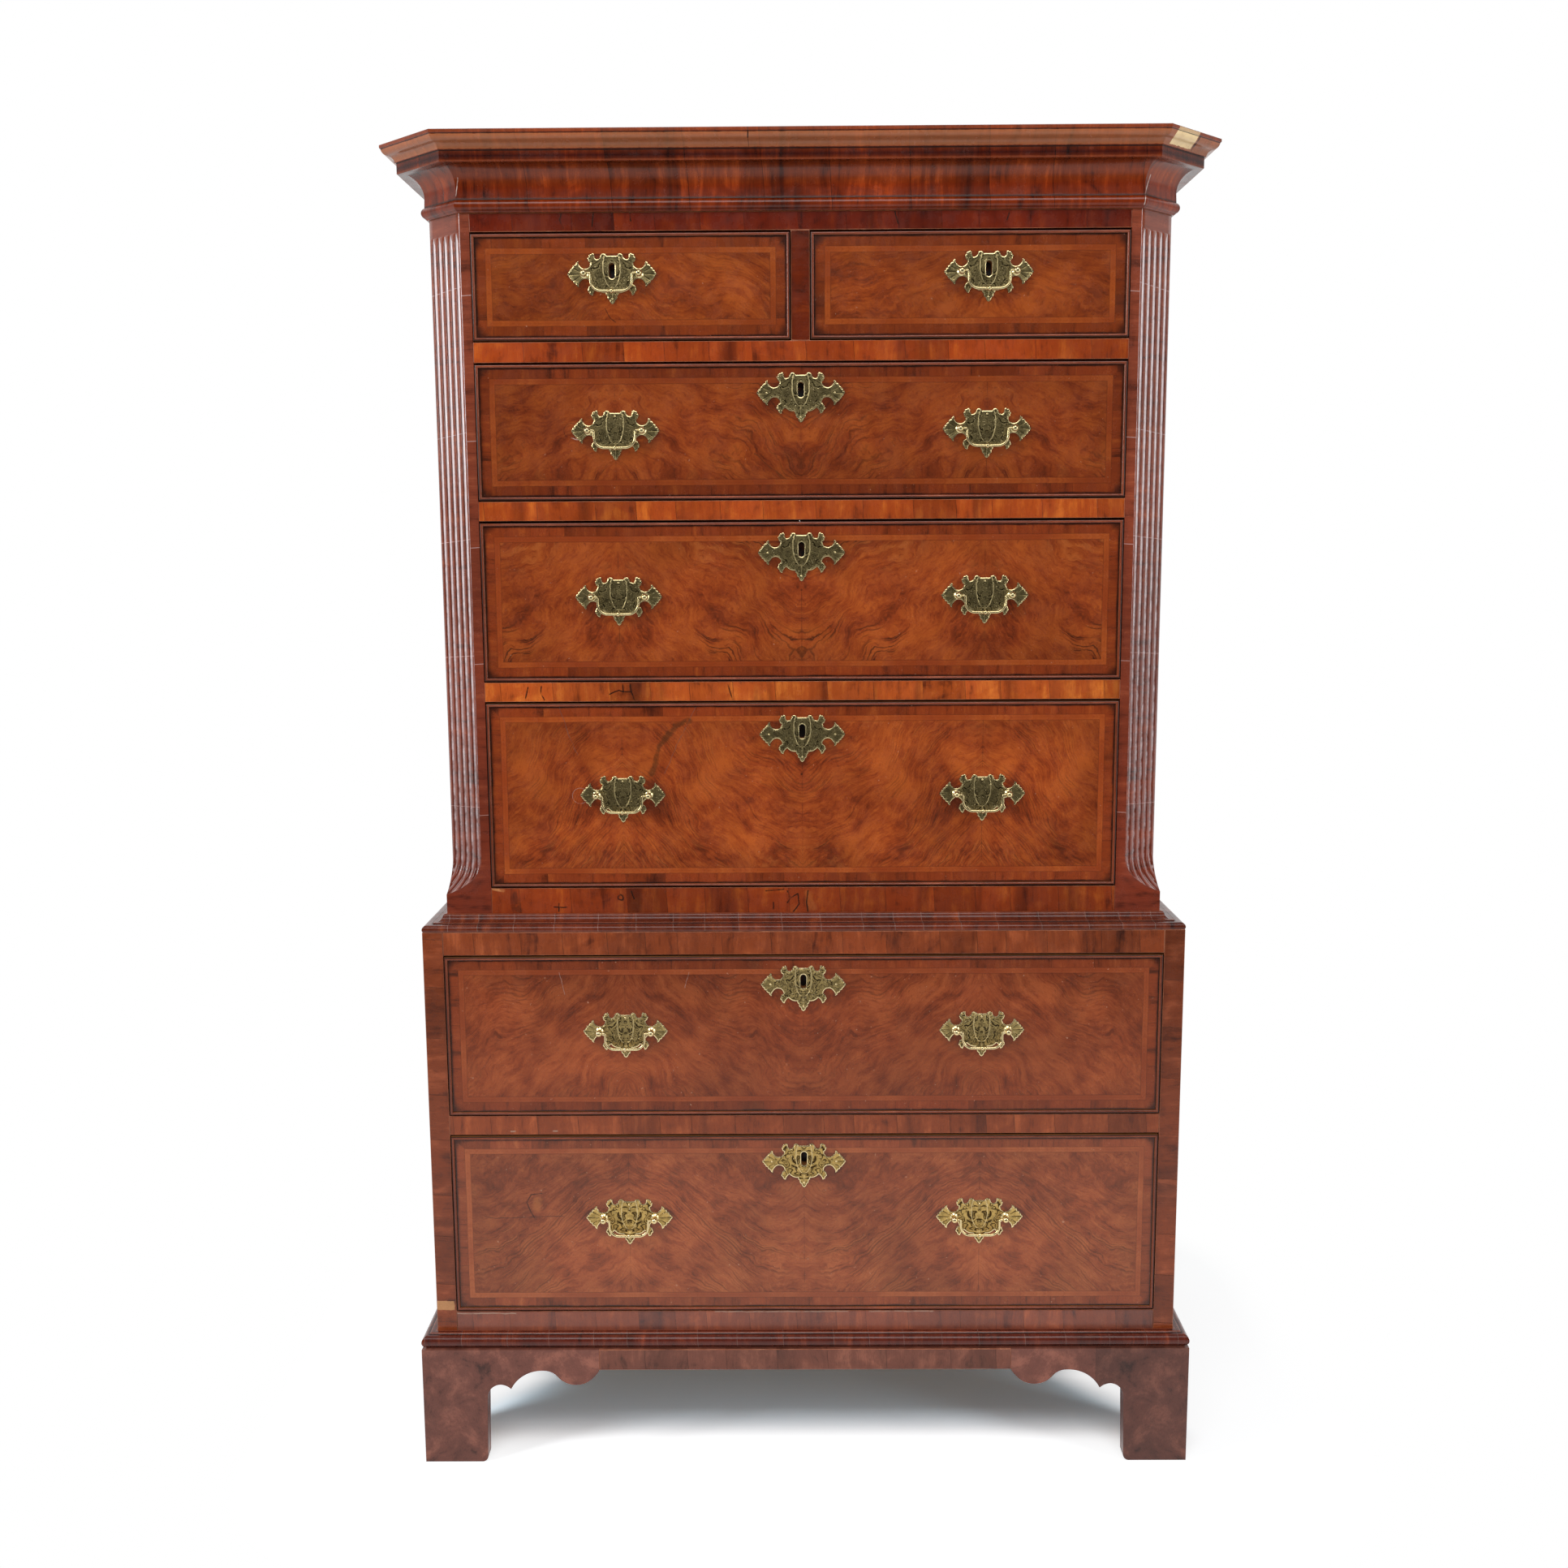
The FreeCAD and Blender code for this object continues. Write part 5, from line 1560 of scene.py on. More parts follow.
@dataclass(frozen=True)
class PlateForm:
    """The shape of one bat-wing plate, as a height over its flat outline.

    The height rises over a quarter round from a thin edge to the rim, and falls behind the rim to
    a slightly sunk ground.  Two ribs along an ellipse stand up in the ground, and flutes run out
    from the posts to the scallops of the wings.
    """

    keyhole: bool
    scale: float = 1.0
    edge: float = 0.7 * MM
    thick: float = 1.6 * MM
    rim: float = 1.2 * MM
    sunk: float = 0.4 * MM
    grid: float = 0.95 * MM

    def loops(self) -> list[Array]:
        """The outline and, on a plate with a keyhole, the keyhole's outline."""
        found = [trace(plate_outline(self.scale), 0.8)[::-1]]
        if self.keyhole:
            r, straight = KEYHOLE_WIDE / 2, (KEYHOLE_HIGH - KEYHOLE_WIDE) / 2
            low, high = KEYHOLE_UP - straight, KEYHOLE_UP + straight
            slot = [(-r, low, -r), (r, low, 0), (r, high, -r), (-r, high, 0)]
            found.append(trace(slot, 0.8))
        return found

    def height(self, flat: Array, distance: Array) -> Array:
        """Height above the drawer face at flat points this far from the rim."""
        rise = np.clip(distance / self.rim, 0, 1)
        body = self.edge + (self.thick - self.edge) * np.sqrt(1 - (1 - rise) ** 2)
        fall = np.clip((distance - 1.5 * MM) / (1.6 * MM), 0, 1)
        body -= self.sunk * fall**2 * (3 - 2 * fall)
        x, y = np.abs(flat[:, 0]), flat[:, 1]
        bow = 11 * MM * np.sqrt(np.clip(1 - ((y / MM - 8) / 25) ** 2, 0, 1))
        ribs = np.exp(-(((x - bow) / (0.8 * MM)) ** 2)) * (np.abs(y) < 21 * MM)
        ray = np.abs(np.sin(np.arctan2(y, x - 36 * MM) * 6))
        flute = np.clip(1 - ray / 0.45, 0, 1) * np.clip((x - 39 * MM) / (4 * MM), 0, 1)
        return body + 0.4 * MM * ribs * fall - 0.35 * MM * flute * rise

    def shell(self, place: Callable[[Array, Array], Array]) -> tuple[Array, list, Array, Array]:
        """Points, triangles, pattern coordinates and polish of the plate.

        Args:
            place: turns (n, 2) flat points and (n,) heights into places.

        Returns:
            The places, the triangles, the flat points and the wear values.
        """
        loops = self.loops()
        rings = []
        for loop in loops:
            way = np.roll(loop, -1, axis=0) - np.roll(loop, 1, axis=0)
            way /= np.linalg.norm(way, axis=1)[:, None]
            normal = np.stack([-way[:, 1], way[:, 0]], -1)
            for inset in (0.3 * MM, 0.7 * MM, 1.2 * MM, 1.8 * MM):
                for sign in (-1, 1):
                    ring = loop + sign * inset * normal
                    rings.append(ring[rim_distance(ring, loops) > 0.93 * inset][::1 + (inset > MM)])
        span = np.abs(loops[0]).max(0) + self.grid
        xs = np.arange(-span[0], span[0], self.grid)
        ys = np.arange(-span[1], span[1], self.grid * math.sqrt(3) / 2)
        gx, gy = np.meshgrid(xs, ys)
        gx = gx + (np.arange(len(ys)) % 2)[:, None] * self.grid / 2
        field = np.stack([gx.ravel(), gy.ravel()], -1)
        field = field[rim_distance(field, loops) > 2.2 * MM]
        extra = np.concatenate(rings + [field])
        extra = extra[inside(extra, loops)]
        rim = np.concatenate(loops)
        edges, at = [], 0
        for loop in loops:
            n = len(loop)
            edges += [(at + i, at + (i + 1) % n) for i in range(n)]
            at += n
        flat, triangles = filled(np.concatenate([rim, extra]), edges, loops, 1e-8)
        back, below = filled(rim, edges, loops, 1e-8)
        distance = rim_distance(flat, loops)
        polished = 1 - np.clip((distance - 1 * MM) / (0.9 * MM), 0, 1)
        shell = Shell().add(place(flat, self.height(flat, distance)), triangles, flat, polished)
        shell.add(place(back, np.zeros(len(back))), below, back, np.ones(len(back)))
        for loop in loops:
            closed = np.concatenate([loop, loop[:1]])
            wall = np.stack([place(closed, np.zeros(len(closed))), place(closed, np.full(
                len(closed), self.edge))])
            shell.grid(wall, np.stack([closed, closed]), np.ones(wall.shape[:2]))
        return (np.concatenate(shell.points), shell.faces, np.concatenate(shell.uv),
                np.concatenate(shell.wear))


@cache
def plate_form(keyhole: bool, scale: float) -> tuple[Array, list, Array, Array]:
    """A plate at the origin: X across, Z up and its face towards -Y."""
    form = PlateForm(keyhole, scale)
    return form.shell(lambda flat, high: np.stack([flat[:, 0], -high, flat[:, 1]], -1))


@dataclass
class Drawer:
    """One drawer: where it is, and its brasses.

    Attributes:
        name: the drawer's body.
        case_front: Y of the front plane of its case.
        handles: label and X of each bail.
        pivot: height of the handle posts.
        escutcheon: height of the middle line of the keyhole plate, or None for a keyhole in the
            handle plate.
        patina: look of the brasses.
        tones: bright, pale, middle and dark hex colours of its veneer.
        seed: shift of the patterns.
        figure: how its veneer is figured.
        scale: size of the handle plates.
    """

    name: str
    case_front: float
    handles: dict[str, float]
    pivot: float
    escutcheon: float | None
    patina: Patina
    tones: tuple[str, str, str, str]
    seed: float
    figure: Figure
    scale: float = 1.0

    def face(self) -> float:
        """Y of the veneered face."""
        return self.case_front + FACE_SET

    def spots(self) -> list[tuple[float, float, bool, float]]:
        """X, height, keyhole and size of each plate."""
        inset = self.escutcheon is None
        found = [(x, self.pivot, inset, self.scale) for x in self.handles.values()]
        return found if inset else found + [(0.0, self.escutcheon, True, 1.0)]

    def pins(self, x: float, z: float, keyhole: bool) -> list[Point]:
        """Places of the pins that hold a plate."""
        wings = [(x - 44 * MM, z),
                 (x + 44 * MM, z)] if keyhole and self.escutcheon is not None else []
        return wings + [(x, z + 18.5 * MM if not keyhole else z - 30.5 * MM)]

    def post(self, shell: Shell, x: float, z: float) -> None:
        """A turned post: a collar, a neck and a ball head, carried round its axis."""
        ball, neck, collar = 4.5 * MM, 2.6 * MM, 5.2 * MM
        turn = np.linspace(math.radians(145), 0, 14)
        radii = np.concatenate([[0, collar, collar, neck * 1.25, neck], ball * np.sin(turn)])
        heights = np.concatenate([
            np.array([0.9, 0.9, 1.7, 3.2, 5.4]) * MM, POST_OUT + ball * np.cos(turn)])
        points = turned(radii, heights, np.array((x, self.face(), z)), np.array((0, -1.0, 0)))
        shell.grid(points, wear=np.full(points.shape[:2], 0.85))

    def pin(self, shell: Shell, x: float, z: float) -> None:
        """A small domed pin head."""
        turn = np.linspace(math.pi / 2, 0, 6)
        radii, heights = 1.5 * MM * np.sin(turn), 1.25 * MM + 0.95 * MM * np.cos(turn)
        radii, heights = np.append(1.5 * MM, radii), np.append(0.6 * MM, heights)
        points = turned(np.append(0, radii), np.append(0.6 * MM, heights),
                        np.array((x, self.face(), z)), np.array((0, -1.0, 0)), 14)
        shell.grid(points, wear=np.full(points.shape[:2], 0.8))

    def brasses(self) -> None:
        """Plates, posts and pins on the drawer front."""
        plates, posts = Shell(), Shell()
        for x, z, keyhole, scale in self.spots():
            points, faces, uv, wear = plate_form(keyhole, scale)
            plates.add(points + np.array((x, self.face(), z)), faces, uv, wear)
            for pin_x, pin_z in self.pins(x, z, keyhole):
                self.pin(posts, pin_x, pin_z)
        for x in self.handles.values():
            for side in (-1, 1):
                self.post(posts, x + side * POST_HALF, self.pivot)
        body = self.name
        for shell, label, engraved in ((plates, "plates", True), (posts, "posts_and_pins", False)):
            piece = shell.piece(f"{body}_{label}", [brass(self.patina, engraved)], body, "brass")
            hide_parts(f"{body}_brasses")
        behind = self.face() + 0.2 * MM
        softened(f"{body}_brasses", [iron_material()], 0.3 * MM, lambda c: c[:, 1] > behind,
                 f"{body}_lock_and_nuts", "iron")

    def bail(self, label: str, x: float) -> None:
        """A bail: a round bar carried along the line of the handle.

        The line runs out of a post, turns down, sweeps round to the level grip, and does the same
        on the other side.  The bar is thickest at the grip and has a knop between two beads there.
        """
        half, drop, bend, elbow = 26.4 * MM, 22 * MM, 13 * MM, 2 * MM
        turn = np.linspace(0, math.pi / 2, 7)
        inlet = np.array([[POST_HALF - 1.2 * MM, 0], [half + elbow, 0]])
        upper = np.stack([half + elbow - elbow * np.sin(turn), elbow * np.cos(turn) - elbow], -1)
        quarter = np.linspace(0, math.pi / 2, 15)
        lower = np.stack([half - bend + bend * np.cos(quarter), bend - drop - bend
                          * np.sin(quarter)], -1)
        level = np.stack([np.linspace(half - bend, 0, 52), np.full(52, -drop)], -1)
        side = np.concatenate([inlet, upper[1:], lower, level[1:]])
        line = np.concatenate([side, side[-2::-1] * np.array((-1, 1))])
        way = np.gradient(line, axis=0)
        way /= np.linalg.norm(way, axis=1)[:, None]
        across = np.abs(line[:, 0])
        low = np.clip(-line[:, 1] / drop, 0, 1)
        radius = (1.5 + 0.55 * low**2) * MM
        grip = np.clip(1 - (across / (14.2 * MM)), 0, 1) * (low > 0.97)
        radius -= 0.15 * MM * grip
        knop = np.sqrt(np.clip(1 - (across / (2.9 * MM)) ** 2, 0, 1)) * 3.4 * MM
        bead = np.sqrt(np.clip(1 - ((across - 4.5 * MM) / (1.5 * MM)) ** 2, 0, 1)) * 2.6 * MM
        radius = np.where(low > 0.97, np.maximum(radius, np.maximum(knop, bead)), radius)
        angle = np.linspace(0, 2 * math.pi, 17)
        normal = np.stack([-way[:, 1], way[:, 0]], -1)
        wide, tall = (radius[:, None] * normal[:, i:i + 1] * np.cos(angle) for i in (0, 1))
        bar = np.stack([line[:, :1] + wide, radius[:, None] * np.sin(angle), line[:, 1:] + tall],
                       -1)
        bar = bar + np.array((x, self.face() - POST_OUT, self.pivot))
        shell = Shell().grid(bar, wear=np.full(bar.shape[:2], 0.9))
        shell.lid(bar[0, :-1]).lid(bar[-1, :-1])
        node = f"{self.name}_bail{label}"
        piece = shell.piece(f"{node}_cast", [brass(self.patina, False)], node, "brass")
        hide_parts(node)

    def cock_bead(self) -> None:
        """Four mitred beads round the front, swept in one ring over the drawer's edge; the outer flank
        of each bead, towards the gap, is darkened as painted shade.
        """
        low, high = low_high(f"{self.name}_front")
        proud, wide = 2.8, 4.2
        nose = wide / 2
        section = [(0, 4, 0), (0, nose - proud, -nose), (wide, nose - proud, 0), (wide, 4, 0)]
        profile = Profile.soften(section, 0.15)
        depth = profile.points[:, 1]
        (left, _, bottom), (right, _, top) = low, high
        corners = np.array([(left, bottom), (right, bottom), (right, top), (left, top), (
            left, bottom)])
        inward = np.array([(1, 1), (-1, 1), (-1, -1), (1, -1), (1, 1)], float)
        shell = Shell()
        for i in range(4):
            length = np.abs(corners[i + 1] - corners[i]).sum()
            share = np.linspace(0, 1, math.ceil(length / 0.04) + 1)[:, None, None]
            start = corners[i] + profile.points[:, :1] * inward[i]
            end = corners[i + 1] + profile.points[:, :1] * inward[i + 1]
            flat = start * (1 - share) + end * share
            along = np.broadcast_to(share[..., 0] * length, flat.shape[:2])
            worn = 0.12 * MM * (np.sin(along * 61 + i) + np.sin(along * 37 + self.seed))
            y = self.case_front + depth + np.clip(worn, 0, 1)
            points = np.stack([flat[..., 0], y, flat[..., 1]], -1)
            uv = np.stack([np.broadcast_to(profile.arc, along.shape), along + i], -1)
            # Painted shade: a strip on each bead's outer flank, towards the gap, goes dark through
            # negative wear, narrower on the top bead.
            gap_shade = np.clip(((1.5 if i == 2 else 2.1) * MM - profile.points[:, 0]) / (0.8 * MM), 0,
                            1)
            wear = np.broadcast_to(
                0.32 * np.clip(-depth / (2.4 * MM), -0.6, 1) - 1.5 * gap_shade, along.shape)
            shell.grid(points, uv, wear)
        shell.piece(f"{self.name}_cock_bead", [bead_finish()], self.name, "drawer_veneer")

    def build(self) -> None:
        """Dresses the drawer and builds its brasses and bails."""
        low, high = low_high(f"{self.name}_front")
        # Painted shadow: a soft dark halo set a little right of and below each plate, where the plate
        # and its bail would cast shade.
        plate_shadows = tuple(Mark(((x / MM - 26, z / MM - 4), (x / MM + 34, z / MM - 4)), 35, "35170a", 0.5,
                         wander=9) for x, z, *_ in self.spots())
        figure = replace(self.figure, marks=plate_shadows + self.figure.marks)
        veneer = DrawerVeneer(f"{self.name}_veneer", low, high, self.tones, self.seed, figure)
        dress(f"{self.name}_front", veneer.material())
        dress(f"{self.name}_box", lining())
        dress(f"{self.name}_lock_bolt", iron_material())
        self.cock_bead()
        self.brasses()
        for label, x in self.handles.items():
            self.bail(label, x)


@cache
def bead_finish() -> Material:
    """The cock beads, rubbed pale along their noses."""
    return Wood("cock_bead", "a45430", "78341a", "2b120c", grain=Grain.UV, across=420, stretch=0.03,
                wander=0.002, mottle=0.3, streaks=0.4, rough=0.22, gloss=0.45, rubbed="b26c4c",
                blur=0.12).material()


@cache
def lining() -> Material:
    """Oak drawer linings."""
    return Wood("oak_lining", "c2935f", "a37645", "6c4727", grain=Grain.BY_FACE, across=120,
                stretch=0.05, wander=0.01, mottle=0.2, streaks=0.25, rough=0.62, gloss=0,
                dust=0.25).material()


def dress(node: str, material: Material) -> None:
    """Gives a CAD node a finish."""
    materials = frame["nodes"][node].data.materials
    materials.clear()
    materials.append(material)


UPPER_TONES = ("b9642a", "a54f1b", "863711", "4c1f0c")
MIDDLE_TONES = ("c26a30", "ab521f", "8a3815", "4a1c0a")
LOWER_TONES = ("b06038", "a15028", "84391a", "482010")
LOWEST_TONES = ("b2683f", "a45a34", "874125", "4a2617")
PALE_SCRATCH, DARK_OLIVE = "a58a80", "3c2410"
FIGURES = {
    "small_drawer_left": Figure(0.5, 0.6, 0.35, 0.25, 0.16, 0.8, (
        Mark(((-250, 1563), (-245, 1553), (-237, 1546)), 0.8),)),
    "small_drawer_right": Figure(0.5, 0.6, 0.3, 0.35, 0.16, 0.84),
    "upper_drawer_1": Figure(0.55, 0.7, 0.35, 0.55, 0.16, 0.68, (
        Mark(((-297, 1410),), 0.45, "3a1a0e", 0.7, 9.5, 0.6),
        Mark(((-297, 1401), (-289, 1398)), 0.9, PALE_SCRATCH, 0.8),
        Mark(((-60, 1380), (-40, 1362), (-20, 1347)), 0.8, DARK_OLIVE, 0.6))),
    "upper_drawer_2": Figure(0.95, 0.9, 0.5, 1, 0.18, 0.82, (
        Mark(((0, 1204),), 1.3, "2a1209", 0.8, 0.6, 0),)),
    "upper_drawer_3": Figure(1.3, 0.55, 0.35, 0.5, 0.22, 0.93, (
        Mark(((-322, 1051), (-311, 1015), (-299, 987)), 0.5, "5f4a44", 0.75),
        Mark(((-141, 1051), (-165, 1003), (-184, 962)), 0.5, "5f4a44", 0.7),
        Mark(((-200, 962), (-190, 1000), (-168, 1026), (-150, 1034)), 5.5, DARK_OLIVE, 0.6, 0, 9),
        Mark(((-297, 932),), 0.45, PALE_SCRATCH, 0.55, 10.5, 0.6),
        Mark(((-1, 960),), 1.3, "2a1209", 0.8, 0.6, 0))),
    "lower_drawer_1": Figure(0.9, 0.5, 0.25, 0.4, 0.2, 0.9, (
        Mark(((-328, 696), (-321, 666)), 0.45, PALE_SCRATCH, 0.6),
        Mark(((-153, 696), (-159, 675)), 0.45, PALE_SCRATCH, 0.6),
        Mark(((-445, 651), (-404, 658), (-361, 659)), 0.6, "5c2415", 0.6, 0, 7))),
    "lower_drawer_2": Figure(0.75, 0.7, 0.3, 0.55, 0.2, 1.01, (
        Mark(((-366, 374), (-367, 364)), 9, "b8703c", 0.35, wander=2),
        Mark(((-360, 385), (-374, 383), (-381, 372), (-376, 359), (-371, 350)), 1.2, "2b140b", 0.85,
             wander=1.5),
        Mark(((-440, 352), (-425, 349), (-392, 350), (-330, 352)), 0.7, "3a2018", 0.8, wander=1.5))),
}


def drawers() -> list[Drawer]:
    """The seven drawers, from the top down."""
    pair = {"_left": -HANDLE_X, "_right": HANDLE_X}
    olive = Patina.OLIVE
    rows = (
        ("small_drawer_left", {"": -HANDLE_X}, 1605, None, olive, UPPER_TONES, 11, 1),
        ("small_drawer_right", {"": HANDLE_X}, 1605, None, olive, UPPER_TONES, 12.5, 1),
        ("upper_drawer_1", pair, 1409.5, 1456, olive, MIDDLE_TONES, 21, 1),
        ("upper_drawer_2", pair, 1196, 1252.5, olive, MIDDLE_TONES, 23.3, 1),
        ("upper_drawer_3", pair, 933, 1013.5, olive, MIDDLE_TONES, 25.6, 1),
        ("lower_drawer_1", pair, 615, 679, Patina.FINE_GILT, LOWER_TONES, 31, 1),
        ("lower_drawer_2", pair, 350, 430, Patina.LEAFY_GILT, LOWEST_TONES, 34.1, 1.04))
    return [Drawer(name, LOWER_FRONT if name.startswith("lower") else UPPER_FRONT, handles,
                   pivot * MM, plate and plate * MM, patina, tones, seed, FIGURES[name], scale)
            for name, handles, pivot, plate, patina, tones, seed, scale in rows]


# --- carcase
@dataclass
class Carcase:
    """Rails, stiles, sides, back and inner boards."""

    rounding: float = 0.7 * MM

    def build(self) -> None:
        """Dresses every board of the two cases."""
        cracks = [Mark(points, 1.3, "241008", 0.95, wander=2.5) for points in (
            ((-303, 1681), (-305, 1672), (-300, 1662)), ((-262, 1681), (-264, 1664)), ((-216, 1680),
            (-215, 1670)), ((120, 1681), (124, 1665)), ((266, 1680), (262, 1668)), ((-255, 1068),
            (-243, 1073), (-237, 1071), (-226, 1071), (-222, 1060)), ((-237, 1081), (-237, 1071)),
            ((-227, 1081), (-226, 1071)), ((-363, 1078), (-366, 1063)), ((-345, 1079), (-346, 1070),
            (-341, 1061)), ((-98, 1080), (-92, 1060)), ((-21, 801), (-17, 791), (-21, 785)),
            ((-17, 791), (-7, 797), (-5, 783), (-13, 773)), ((7, 801), (5, 785), (7, 773)),
            ((-50, 801), (-26, 803)), ((-40, 785), (-40, 777)), ((-336, 780), (-319, 780)),
            ((-330, 785), (-330, 774)), ((-231, 802), (-228, 791)))]
        burrs = [Mark(((-389, 797), (-384, 776)), 7, "3a170a", 0.6, wander=12),
                 Mark(((-246, 793),), 1.6, "24100a", 0.9, 3.5, 6),
                 Mark(((7, 796), (12, 778)), 8, "a8602c", 0.35, wander=10)]
        wedge = Mark(((-418, 806), (-404, 803)), 3.2, "c98a55", 0.7, 0, 3)
        # Painted shade: the last level darkens the top rail under the cornice; the other levels tone
        # the rails by height.
        upper = Wood("upper_rail_veneer", "d8762c", "b2501c", "64270d", across=80, stretch=0.09,
                     mottle=0.55, streaks=0.8, leaf=0.06, tint=0.42, seed=6,
                     marks=(*burrs, *cracks, wedge),
                     levels=((0.79, "ccb4a8"), (1.07, "ffffff"), (1.31, "efe0d4"), (1.51, "e4ccb8"),
                             (1.67, "946032")))
        chips = [Mark(points, 1.1, "a98e7c", 0.75, wander=3) for points in (
            ((-485, 210), (-401, 210)), ((-125, 212), (60, 212)), ((90, 212), (178, 212)),
            ((-399, 474), (-393, 474)), ((-342, 474), (-336, 474)))]
        lower = Wood("lower_rail_veneer", "b05a30", "893f1e", "4a1d0e", across=80, stretch=0.09,
                     mottle=0.5, leaf=0.055, tint=0.34, seed=7, gloss=0.3,
                     marks=(Patch((-530, 184), (530, 212.6), 0, "8c7a7c", 0.16), *chips))
        # Painted shade: the second patch darkens the upper part of the right lower stile, on the side
        # away from the key lamp.
        stile = Wood("stile_veneer", "ab5834", "813a1a", "3f180a", grain=Grain.LEVEL, across=55,
                     stretch=0.12, leaf=0.07, tint=0.35, seed=8, gloss=0.3,
                     marks=(Patch((-512, 215), (-485, 229), 0, "bf8c5c", 0.75),
                            Patch((470, 610), (530, 770), 0, "200e0a", 0.3)))
        divider = Wood("divider_veneer", "7c300a", "5c1c04", "320e03", grain=Grain.LEVEL, across=55,
                       stretch=0.12, seed=8.5, gloss=0.2)
        edge = Wood("rubbed_edge", "b97c5c", "96573b", "4d2719", across=70, seed=9, rough=0.42)
        side = Wood("side_veneer", "a56238", "7d4225", "47230f", grain=Grain.SIDE, across=26,
                    stretch=0.08, wander=0.05, mottle=0.4, leaf=0.13, tint=0.12, seed=10)
        apron = Wood("apron_veneer", "8e5643", "6f3f31", "442419", stretch=0.2,
                     wander=0.04, mottle=0.6, leaf=0.07, tint=0.18, rough=0.42, gloss=0.2, seed=5.2)
        pine = Wood("old_pine", "b48a5c", "916a44", "583a24", grain=Grain.SIDE, across=40,
                    stretch=0.05, rough=0.75, gloss=0, dust=0.6)
        back = Wood("back_pine", "a27a56", "80593a", "4c321f", across=34,
                    stretch=0.04, wander=0.03, rough=0.8, gloss=0, dust=0.3)
        inner = Wood("inner_oak", "b08858", "8c643c", "5a3c22", grain=Grain.BY_FACE,
                     stretch=0.05, rough=0.7, gloss=0, dust=0.5)
        rubbed = edge.material()
        for node, finish in (("upper_rails", upper), ("lower_rails", lower), ("lower_stiles", stile),
                             ("drawer_divider", divider), ("upper_sides", side), ("lower_sides", side),
                             ("aprons", apron)):
            softened(node, [finish.material(), rubbed], self.rounding)
        plain = inner.material()
        for node in ("lower_top_and_bottom", "upper_top_and_bottom", "dustboards", "drawer_guides",
                     "foot_blocks"):
            dress(node, plain)
        boards = back.material()
        dress("lower_back_boards", boards)
        dress("upper_back_boards", boards)
        dress("cornice_frame", pine.material())


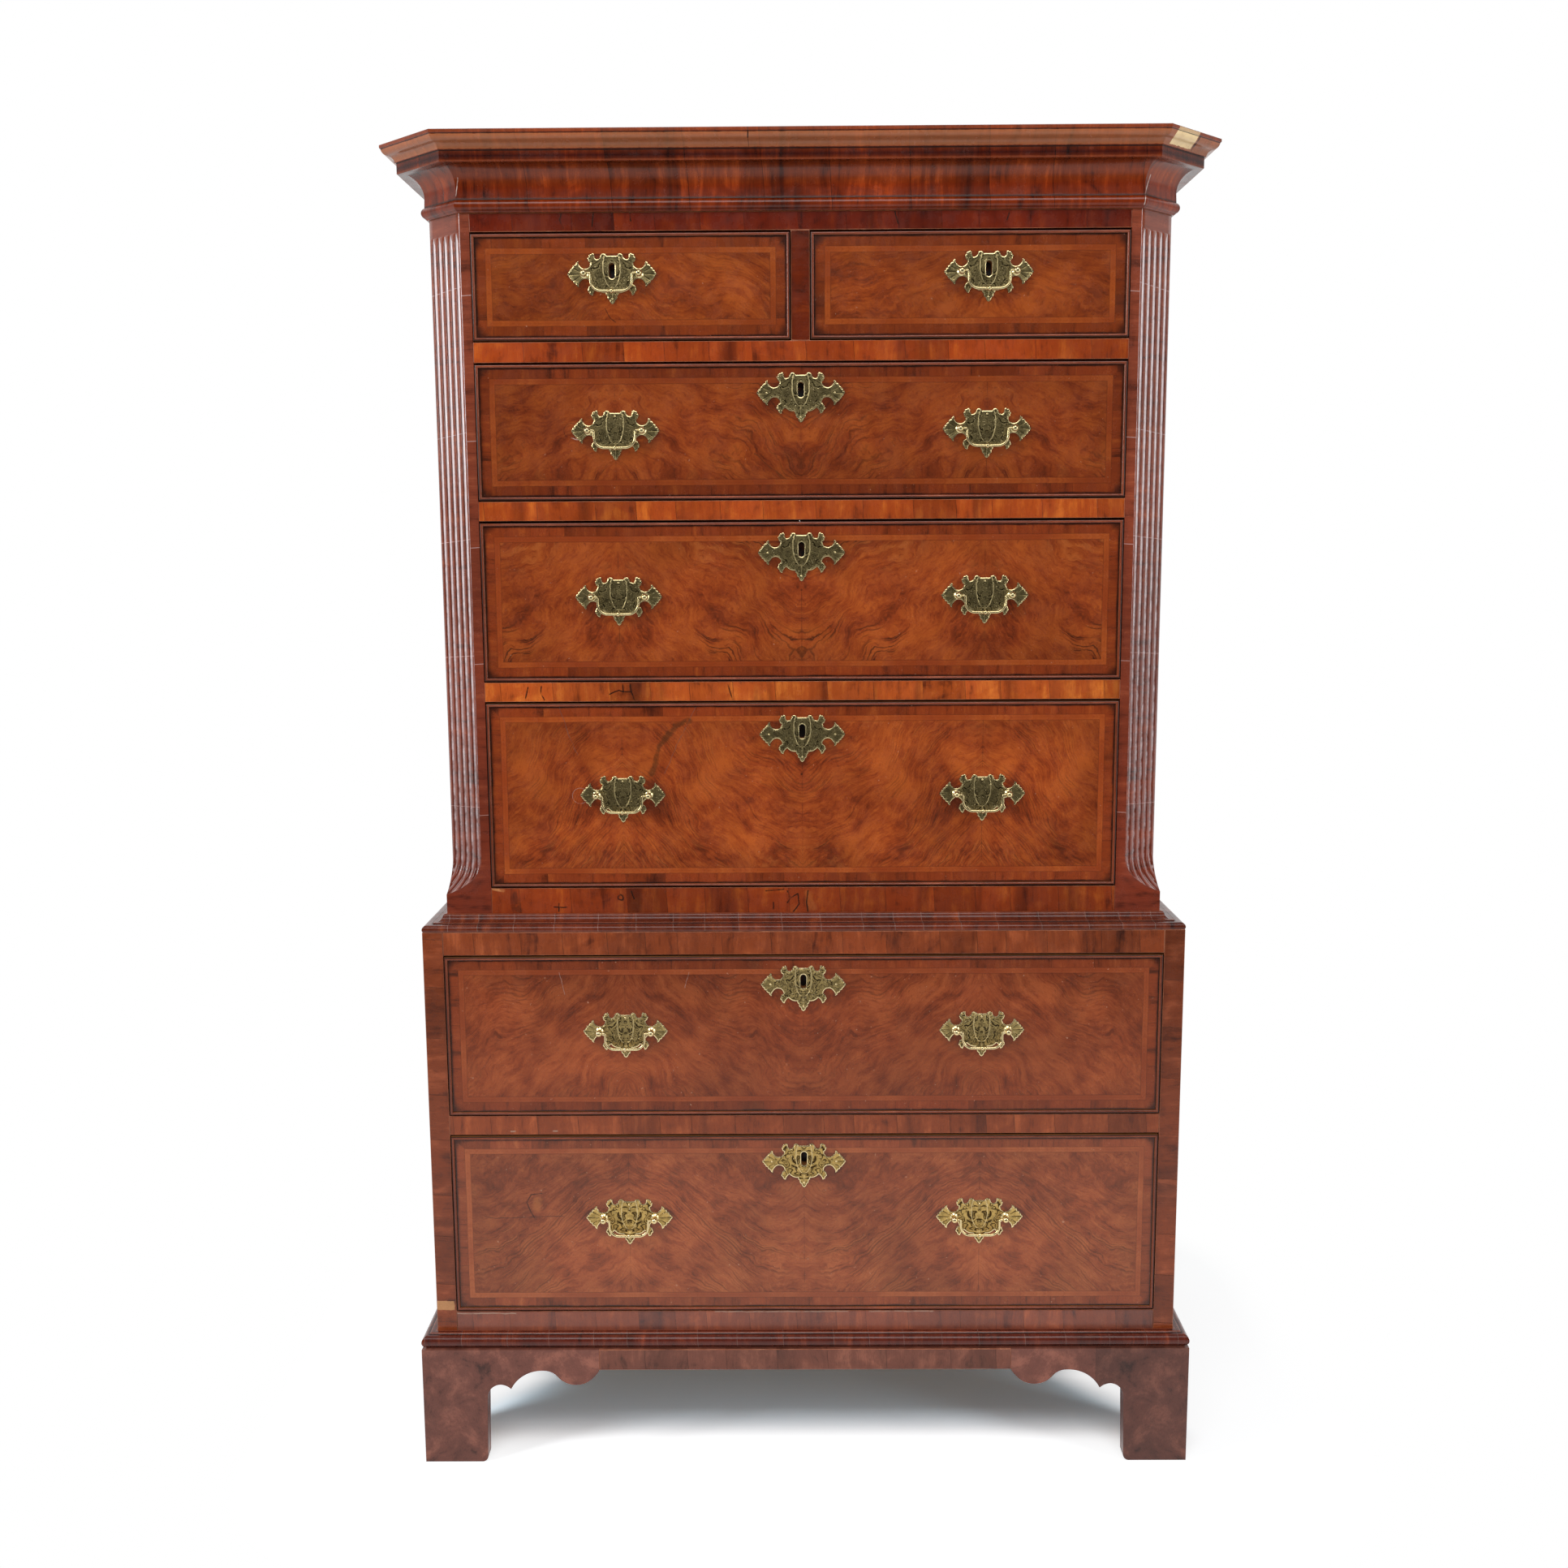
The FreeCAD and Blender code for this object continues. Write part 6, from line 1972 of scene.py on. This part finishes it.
# --- studio
@dataclass
class Studio:
    """Camera, lamps, floor and background."""

    lens: float = 37.02
    sensor: float = 36.0
    camera_at: Corner = (-0.0108, -2.3585, 1.268)
    pitch: float = 8.584
    yaw: float = -0.37
    roll: float = -0.336

    def camera(self) -> None:
        """Sets up the camera from its place and its three angles, in degrees."""
        down, turn, lean = (math.radians(a) for a in (self.pitch, self.yaw, self.roll))
        forward = Vector((math.sin(turn) * math.cos(down), math.cos(turn) * math.cos(down),
                          -math.sin(down)))
        level = Vector((math.cos(turn), -math.sin(turn), 0))
        up = level.cross(forward)
        right = math.cos(lean) * level + math.sin(lean) * up
        top = -math.sin(lean) * level + math.cos(lean) * up
        data = bpy.data.cameras.new("camera")
        data.lens, data.sensor_width = self.lens, self.sensor
        data.clip_start, data.clip_end = 0.05, 200
        camera = bpy.data.objects.new("camera", data)
        rotation = Matrix((right, top, -forward)).transposed()
        camera.matrix_world = Matrix.LocRotScale(
            Vector(self.camera_at), rotation.to_quaternion(), None)
        link(camera)
        bpy.context.scene.camera = camera

    def lamp(self, name: str, at: Corner, aim: Corner,
             size: Point, power: float) -> None:
        """A rectangular soft lamp that looks at a point."""
        data = bpy.data.lights.new(name, "AREA")
        data.shape, data.size, data.size_y, data.energy = "RECTANGLE", size[0], size[1], power
        lamp = bpy.data.objects.new(name, data)
        lamp.location = at
        lamp.rotation_euler = (Vector(aim) - Vector(at)).to_track_quat("-Z", "Y").to_euler()
        link(lamp)

    def world(self, ambient: float, room: float) -> None:
        """White where it is seen, and where it is mirrored behind the chest.

        Args:
            ambient: strength of the soft light that falls on matt surfaces.
            room: strength at which the room in front of the chest is mirrored.
        """
        world = bpy.data.worlds.new("studio")
        world.use_nodes = True
        bpy.context.scene.world = world
        g = Graph(world.node_tree)
        _, depth, _ = g.split(g.read("ShaderNodeTexCoord", "Generated"))
        mirrored = g.smooth(depth, -0.05, 0.4, room, 1)
        seen = g.math("MAXIMUM", g.ray("Camera"), g.ray("Transmission"))
        strength = g.lerp(seen, g.lerp(g.ray("Glossy"), ambient, mirrored), 1)
        shader = g.make("ShaderNodeBackground", {"Color": (1, 1, 1, 1), "Strength": strength})
        g.feed(g.add("ShaderNodeOutputWorld").inputs["Surface"], shader)

    def floor(self) -> None:
        """A plain white floor that fades into the background."""
        mesh = bpy.data.meshes.new("floor")
        reach = 30.0
        mesh.from_pydata([(-reach, -reach, 0), (reach, -reach, 0), (reach, reach, 0),
                          (-reach, reach, 0)], [], [(0, 1, 2, 3)])
        floor = bpy.data.objects.new("floor", mesh)
        link(floor)
        material, g = blank("floor_white")
        seen = g.math("MAXIMUM", g.ray("Camera"), g.math("MAXIMUM", g.ray("Glossy"), g.ray(
            "Transmission")))
        x, y, _ = g.split(g.here())

        def beyond(half_x: Value, half_y: float, centre: float) -> Wire:
            """Distance outside a box on the floor."""
            away = (g.math("MAXIMUM", abs(value - at) - half, 0)
                    for value, half, at in ((x, half_x, 0.0), (y, half_y, centre)))
            return g.vector("LENGTH", g.join(*away), out="Value")

        wide = 0.305 - g.math("MINIMUM", y, -0.05) * 0.9
        core = g.smooth(beyond(wide, 0.235, 0.05), 0, 0.09)
        cast = g.smooth(abs(y + 0.05), 0.06, 0.17)
        tint = g.mix(g.math("MAXIMUM", core, cast), (1.45, 1.9, 2.2, 1), (1.55, 1.6, 1.64, 1))
        matt = g.make("ShaderNodeBsdfDiffuse", {"Color": g.mix(seen, (0.85, 0.85, 0.85, 1), tint)})
        white, dark = (g.make("ShaderNodeEmission", {"Strength": power}) for power in (1, 0.06))
        far = g.math("MAXIMUM", core * 0.8, g.smooth(beyond(0.5, 0.26, 0), 0, 0.3))
        dim = g.smooth(y, -1.1, -3.1) * g.ray("Glossy")
        faded = g.make("ShaderNodeMixShader", {0: far * seen, 1: matt, 2: white})
        g.surface(g.make("ShaderNodeMixShader", {0: dim, 1: faded, 2: dark}))
        mesh.materials.append(material)
        floor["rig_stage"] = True

    def build(self) -> None:
        """Builds the studio."""
        self.camera()
        self.lamp("overhead", (0, -2.7, 3.7), (0, -0.2, 0.6), (3, 1.8), 72)
        self.lamp("left_key", (-2.7, -1.5, 2.1), (-0.2, -0.2, 0.9), (0.6, 1.4), 52)
        self.lamp("right_fill", (2.8, -1.7, 1.4), (0.2, -0.2, 0.9), (0.7, 2), 27)
        self.world(0.3, 0.08)
        self.floor()
        bpy.context.scene.view_settings.view_transform = "Standard"


def main() -> None:
    """Builds the looks in order."""
    logging.basicConfig(level=logging.INFO)
    model_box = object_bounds()
    builders = [Studio().build, Carcase().build, Mouldings().build, CantedCorners().build,
                Feet().build]
    for build in builders + [drawer.build for drawer in drawers()]:
        build()
        log.info("%s is done", build.__qualname__)
    looks_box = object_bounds()
    sizes = {key: [[float(c) for c in corner] for corner in box]
             for key, box in (("model", model_box), ("looks", looks_box))}


if __name__ == "__main__":
    main()
